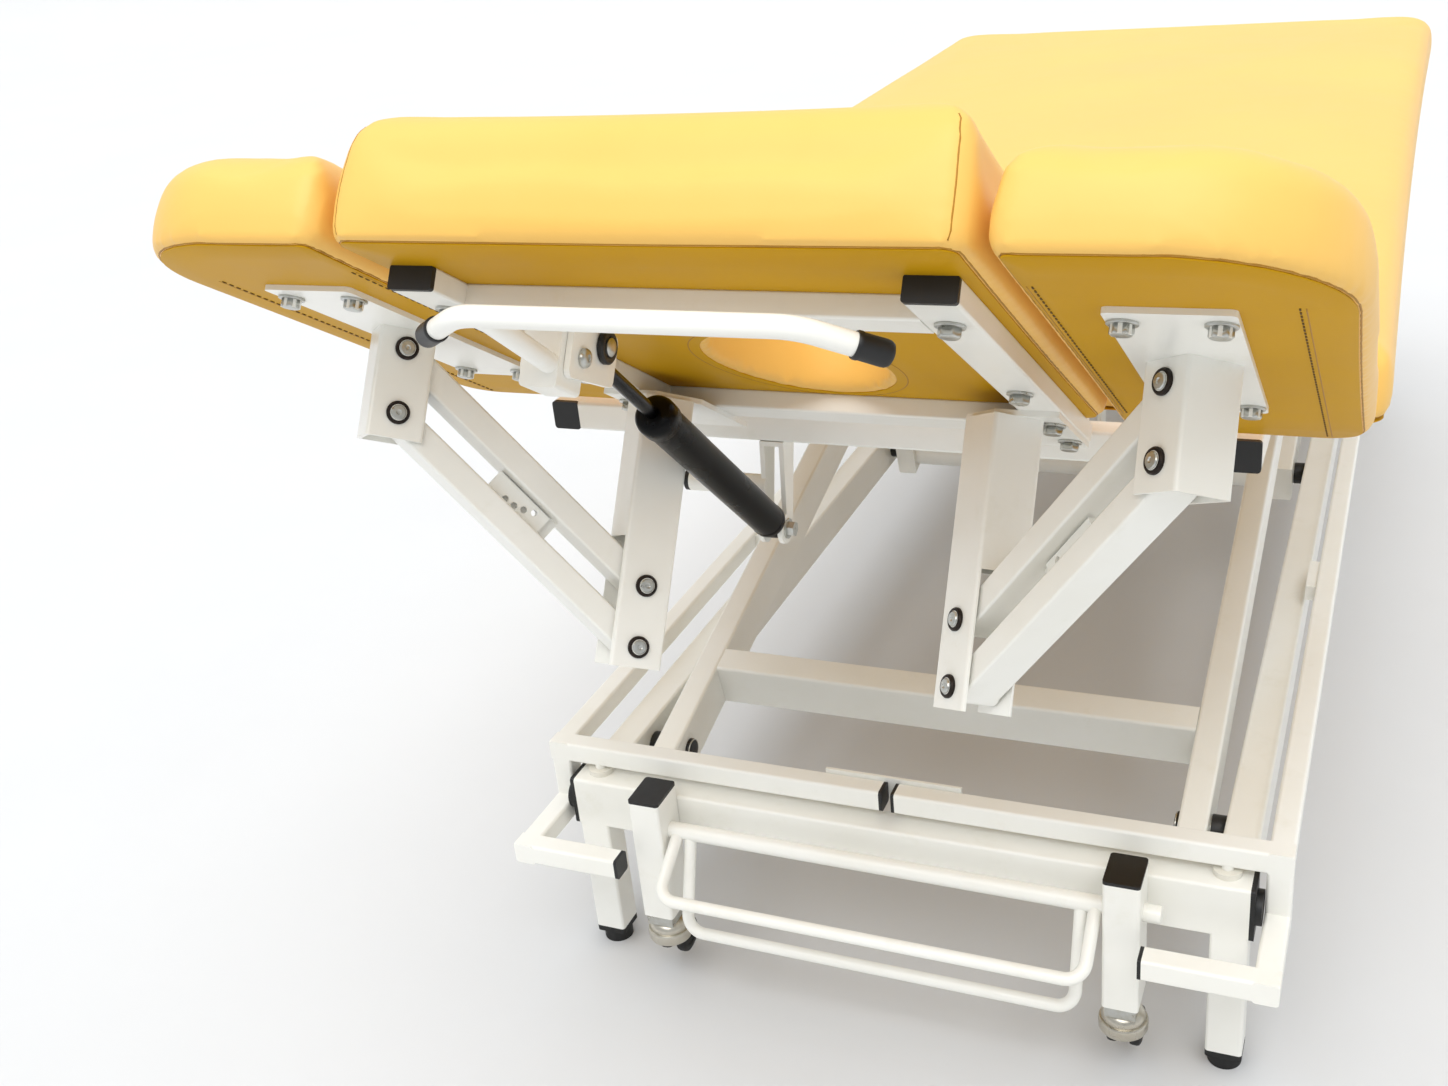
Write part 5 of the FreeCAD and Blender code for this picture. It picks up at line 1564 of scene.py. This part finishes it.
@dataclass
class Grips:
    """Soft black caps on the ends of the release handle."""

    half_width: float = 140 * MM
    end_s: float = 0.0
    end_lift: float = -42 * MM
    straight: float = 100 * MM
    front_s: float = -32 * MM
    front_lift: float = -37 * MM

    def build(self) -> None:
        """Turned cap with a rounded end and a thin rolled rim."""
        profile = in_metres([(0.6, -2.4), (3.8, -2.2), (6.2, -1.1), (7.3, 0.9), (7.5, 3.0),
                             (7.4, 15.6), (7.8, 16.6), (7.8, 18.4), (7.4, 19.2), (6.3, 19.2)])
        caps = []
        for turn in (1, -1):
            end = PLACES.head((turn * self.half_width, self.end_s, self.end_lift))
            bend = PLACES.head((turn * self.straight, self.front_s, self.front_lift))
            along = (bend - end) / np.linalg.norm(bend - end)
            caps.append(lathe("cap", profile, end, along, 40))
        piece = joined("handle_end_caps", caps)
        sharpen(piece, 50)
        dress(piece, Slot.BLACK_PLASTIC, "handle", replaced=("handle_grips",))


# Lift pivots


@dataclass
class PivotTrim:
    """Black caps and bushes on the lower pivots of the lift arms."""

    pivot_y: float = 110 * MM
    rear_offset: float = 790 * MM
    height: float = 165 * MM
    arm_inner: float = 236 * MM
    arm_outer: float = 261 * MM
    rail_inner: float = 275 * MM

    def build(self) -> None:
        """Turned caps inside the front arms and bushes between every arm and its rail."""
        pieces = []
        cap = in_metres([(2.0, 5.4), (8.5, 5.1), (10.8, 3.9), (11.4, 2.4), (11.4, 0.2), (9.0, 0.2)])
        reach = (self.rail_inner - self.arm_outer) / MM
        bush = in_metres([(8.2, 0.4), (12.6, 0.4), (13.4, 1.2), (13.4, reach - 1.4),
                          (12.8, reach - 0.5), (8.2, reach - 0.5)])
        for turn in (1, -1):
            for y in (self.pivot_y, self.pivot_y + self.rear_offset):
                place = (turn * self.arm_outer, PLACES.front + y, self.height)
                pieces.append(lathe("bush", bush, place, (turn, 0, 0), 36))
            place = (turn * self.arm_inner, PLACES.front + self.pivot_y, self.height)
            pieces.append(lathe("cap", cap, place, (-turn, 0, 0), 36))
        piece = joined("lift_pivot_trim", pieces)
        sharpen(piece, 40)
        dress(piece, Slot.BLACK_PLASTIC, "base")


# Studio


@dataclass
class Studio:
    """Pale floor, soft lights and the camera at the photograph's angle."""

    camera_x: float = 381.97 * MM
    camera_y: float = -1044.26 * MM
    camera_z: float = 998.94 * MM
    yaw: float = 0.448995
    pitch: float = 0.438439
    roll: float = 0.107956
    focal_pixels: float = 1552.07
    frame_width: float = 1448.0
    sensor: float = 36.0
    level_floor: float = 9.0
    sweep: float = 3.0
    wall_top: float = 7.0
    key_strength: float = 1.9
    key_angle: float = math.radians(55)
    top_strength: float = 0.8
    top_angle: float = math.radians(80)
    sky: float = 0.84

    def camera(self) -> None:
        """Camera with its forward, right and down axes from yaw, pitch and roll."""
        cy, sy = math.cos(self.yaw), math.sin(self.yaw)
        cp, sp = math.cos(self.pitch), math.sin(self.pitch)
        forward = Vector((-sy * cp, cy * cp, -sp))
        right = Vector((cy, sy, 0))
        down = forward.cross(right)
        turned_right = math.cos(self.roll) * right + math.sin(self.roll) * down
        turned_down = -math.sin(self.roll) * right + math.cos(self.roll) * down
        data = bpy.data.cameras.new("photograph camera")
        data.sensor_width = self.sensor
        data.lens = self.focal_pixels / self.frame_width * self.sensor
        data.clip_start, data.clip_end = 0.05, 60.0
        camera = linked("photograph camera", data)
        turn = Matrix((turned_right, -turned_down, -forward)).transposed().to_4x4()
        place = Vector((self.camera_x, PLACES.front + self.camera_y, self.camera_z))
        camera.matrix_world = Matrix.Translation(place) @ turn
        bpy.context.scene.camera = camera

    def floor(self) -> None:
        """Paper floor that is flat around the table and sweeps up into a wall far away.

        Along the radius the paper runs level, then follows most of a quarter circle, then
        rises straight to its top edge.
        """
        bend = np.linspace(0, math.radians(84), 15)
        radius = np.concatenate([[0.01, 3.0, 6.0], self.level_floor + self.sweep * np.sin(bend)])
        height = np.concatenate([[0.0, 0.0, 0.0], self.sweep * (1 - np.cos(bend))])
        radius, height = np.append(radius, radius[-1] + 0.3), np.append(height, self.wall_top)
        around = 96
        turn = np.linspace(0, 2 * math.pi, around, endpoint=False)
        points = np.stack([radius[:, None] * np.cos(turn), radius[:, None] * np.sin(turn),
                           np.repeat(height[:, None] - 0.2 * MM, around, axis=1)], axis=-1)
        faces = grid_faces(len(radius), around)[:, ::-1].tolist()
        floor = make_object("studio_floor", points, faces + [list(range(around))])
        floor.data.materials.append(FLOOR_PAPER.material())

    def soft_sun(self, name: str, aim: Sequence[float], strength: float, angle: float,
                 colour: Sequence[float]) -> None:
        """Wide even light from one direction, as from a large diffuser far away.

        Args:
            name: the light's name.
            aim: direction of the light.
            strength: its strength in watts per square metre.
            angle: width of the light in radians.
            colour: linear red, green and blue.
        """
        data = bpy.data.lights.new(name, "SUN")
        data.energy, data.angle, data.color = strength, angle, colour
        linked(name, data).rotation_euler = Vector(aim).to_track_quat("-Z", "Y").to_euler()

    def lights(self) -> None:
        """White sky over the paper, a wide front key and a wider top light."""
        world = bpy.data.worlds.new("white studio")
        world.use_nodes = True
        background = world.node_tree.nodes["Background"]
        background.inputs["Color"].default_value = linear("#F5FAFF")
        background.inputs["Strength"].default_value = self.sky
        bpy.context.scene.world = world
        self.soft_sun("wide front key", (-0.1, 0.75, -1.5), self.key_strength, self.key_angle,
                      (1.0, 0.995, 0.985))
        self.soft_sun("wide top light", (0.05, 0.1, -1.0), self.top_strength, self.top_angle,
                      (1.0, 1.0, 1.0))

    def build(self) -> None:
        """Sets the whole studio, and shows colours as they are, without a film curve."""
        bpy.context.scene.view_settings.view_transform = "Standard"
        self.floor()
        self.lights()
        self.camera()


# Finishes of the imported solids


def finish_packed_solids() -> None:
    """Puts the procedural finish of its slot, or its own one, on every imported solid."""
    of_slot = {slot.label: slot.finish for slot in Slot}
    own = {"gas_rod": DARK_ROD}
    for entry in frame["record"]["subparts"]:
        name = entry["node"]
        solid = frame["nodes"][name]
        finish = own.get(name, of_slot[entry["material_slot"]])
        solid.data.materials.clear()
        solid.data.materials.append(finish.material())


def main() -> None:
    """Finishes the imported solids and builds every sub-assembly in order."""
    logging.basicConfig(level=logging.INFO, format="%(message)s")
    finish_packed_solids()
    Upholstery().build()
    Fasteners().build()
    Casters().build()
    GasSpringTrim().build()
    Grips().build()
    PivotTrim().build()
    Studio().build()


if __name__ == "__main__":
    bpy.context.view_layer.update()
    main()
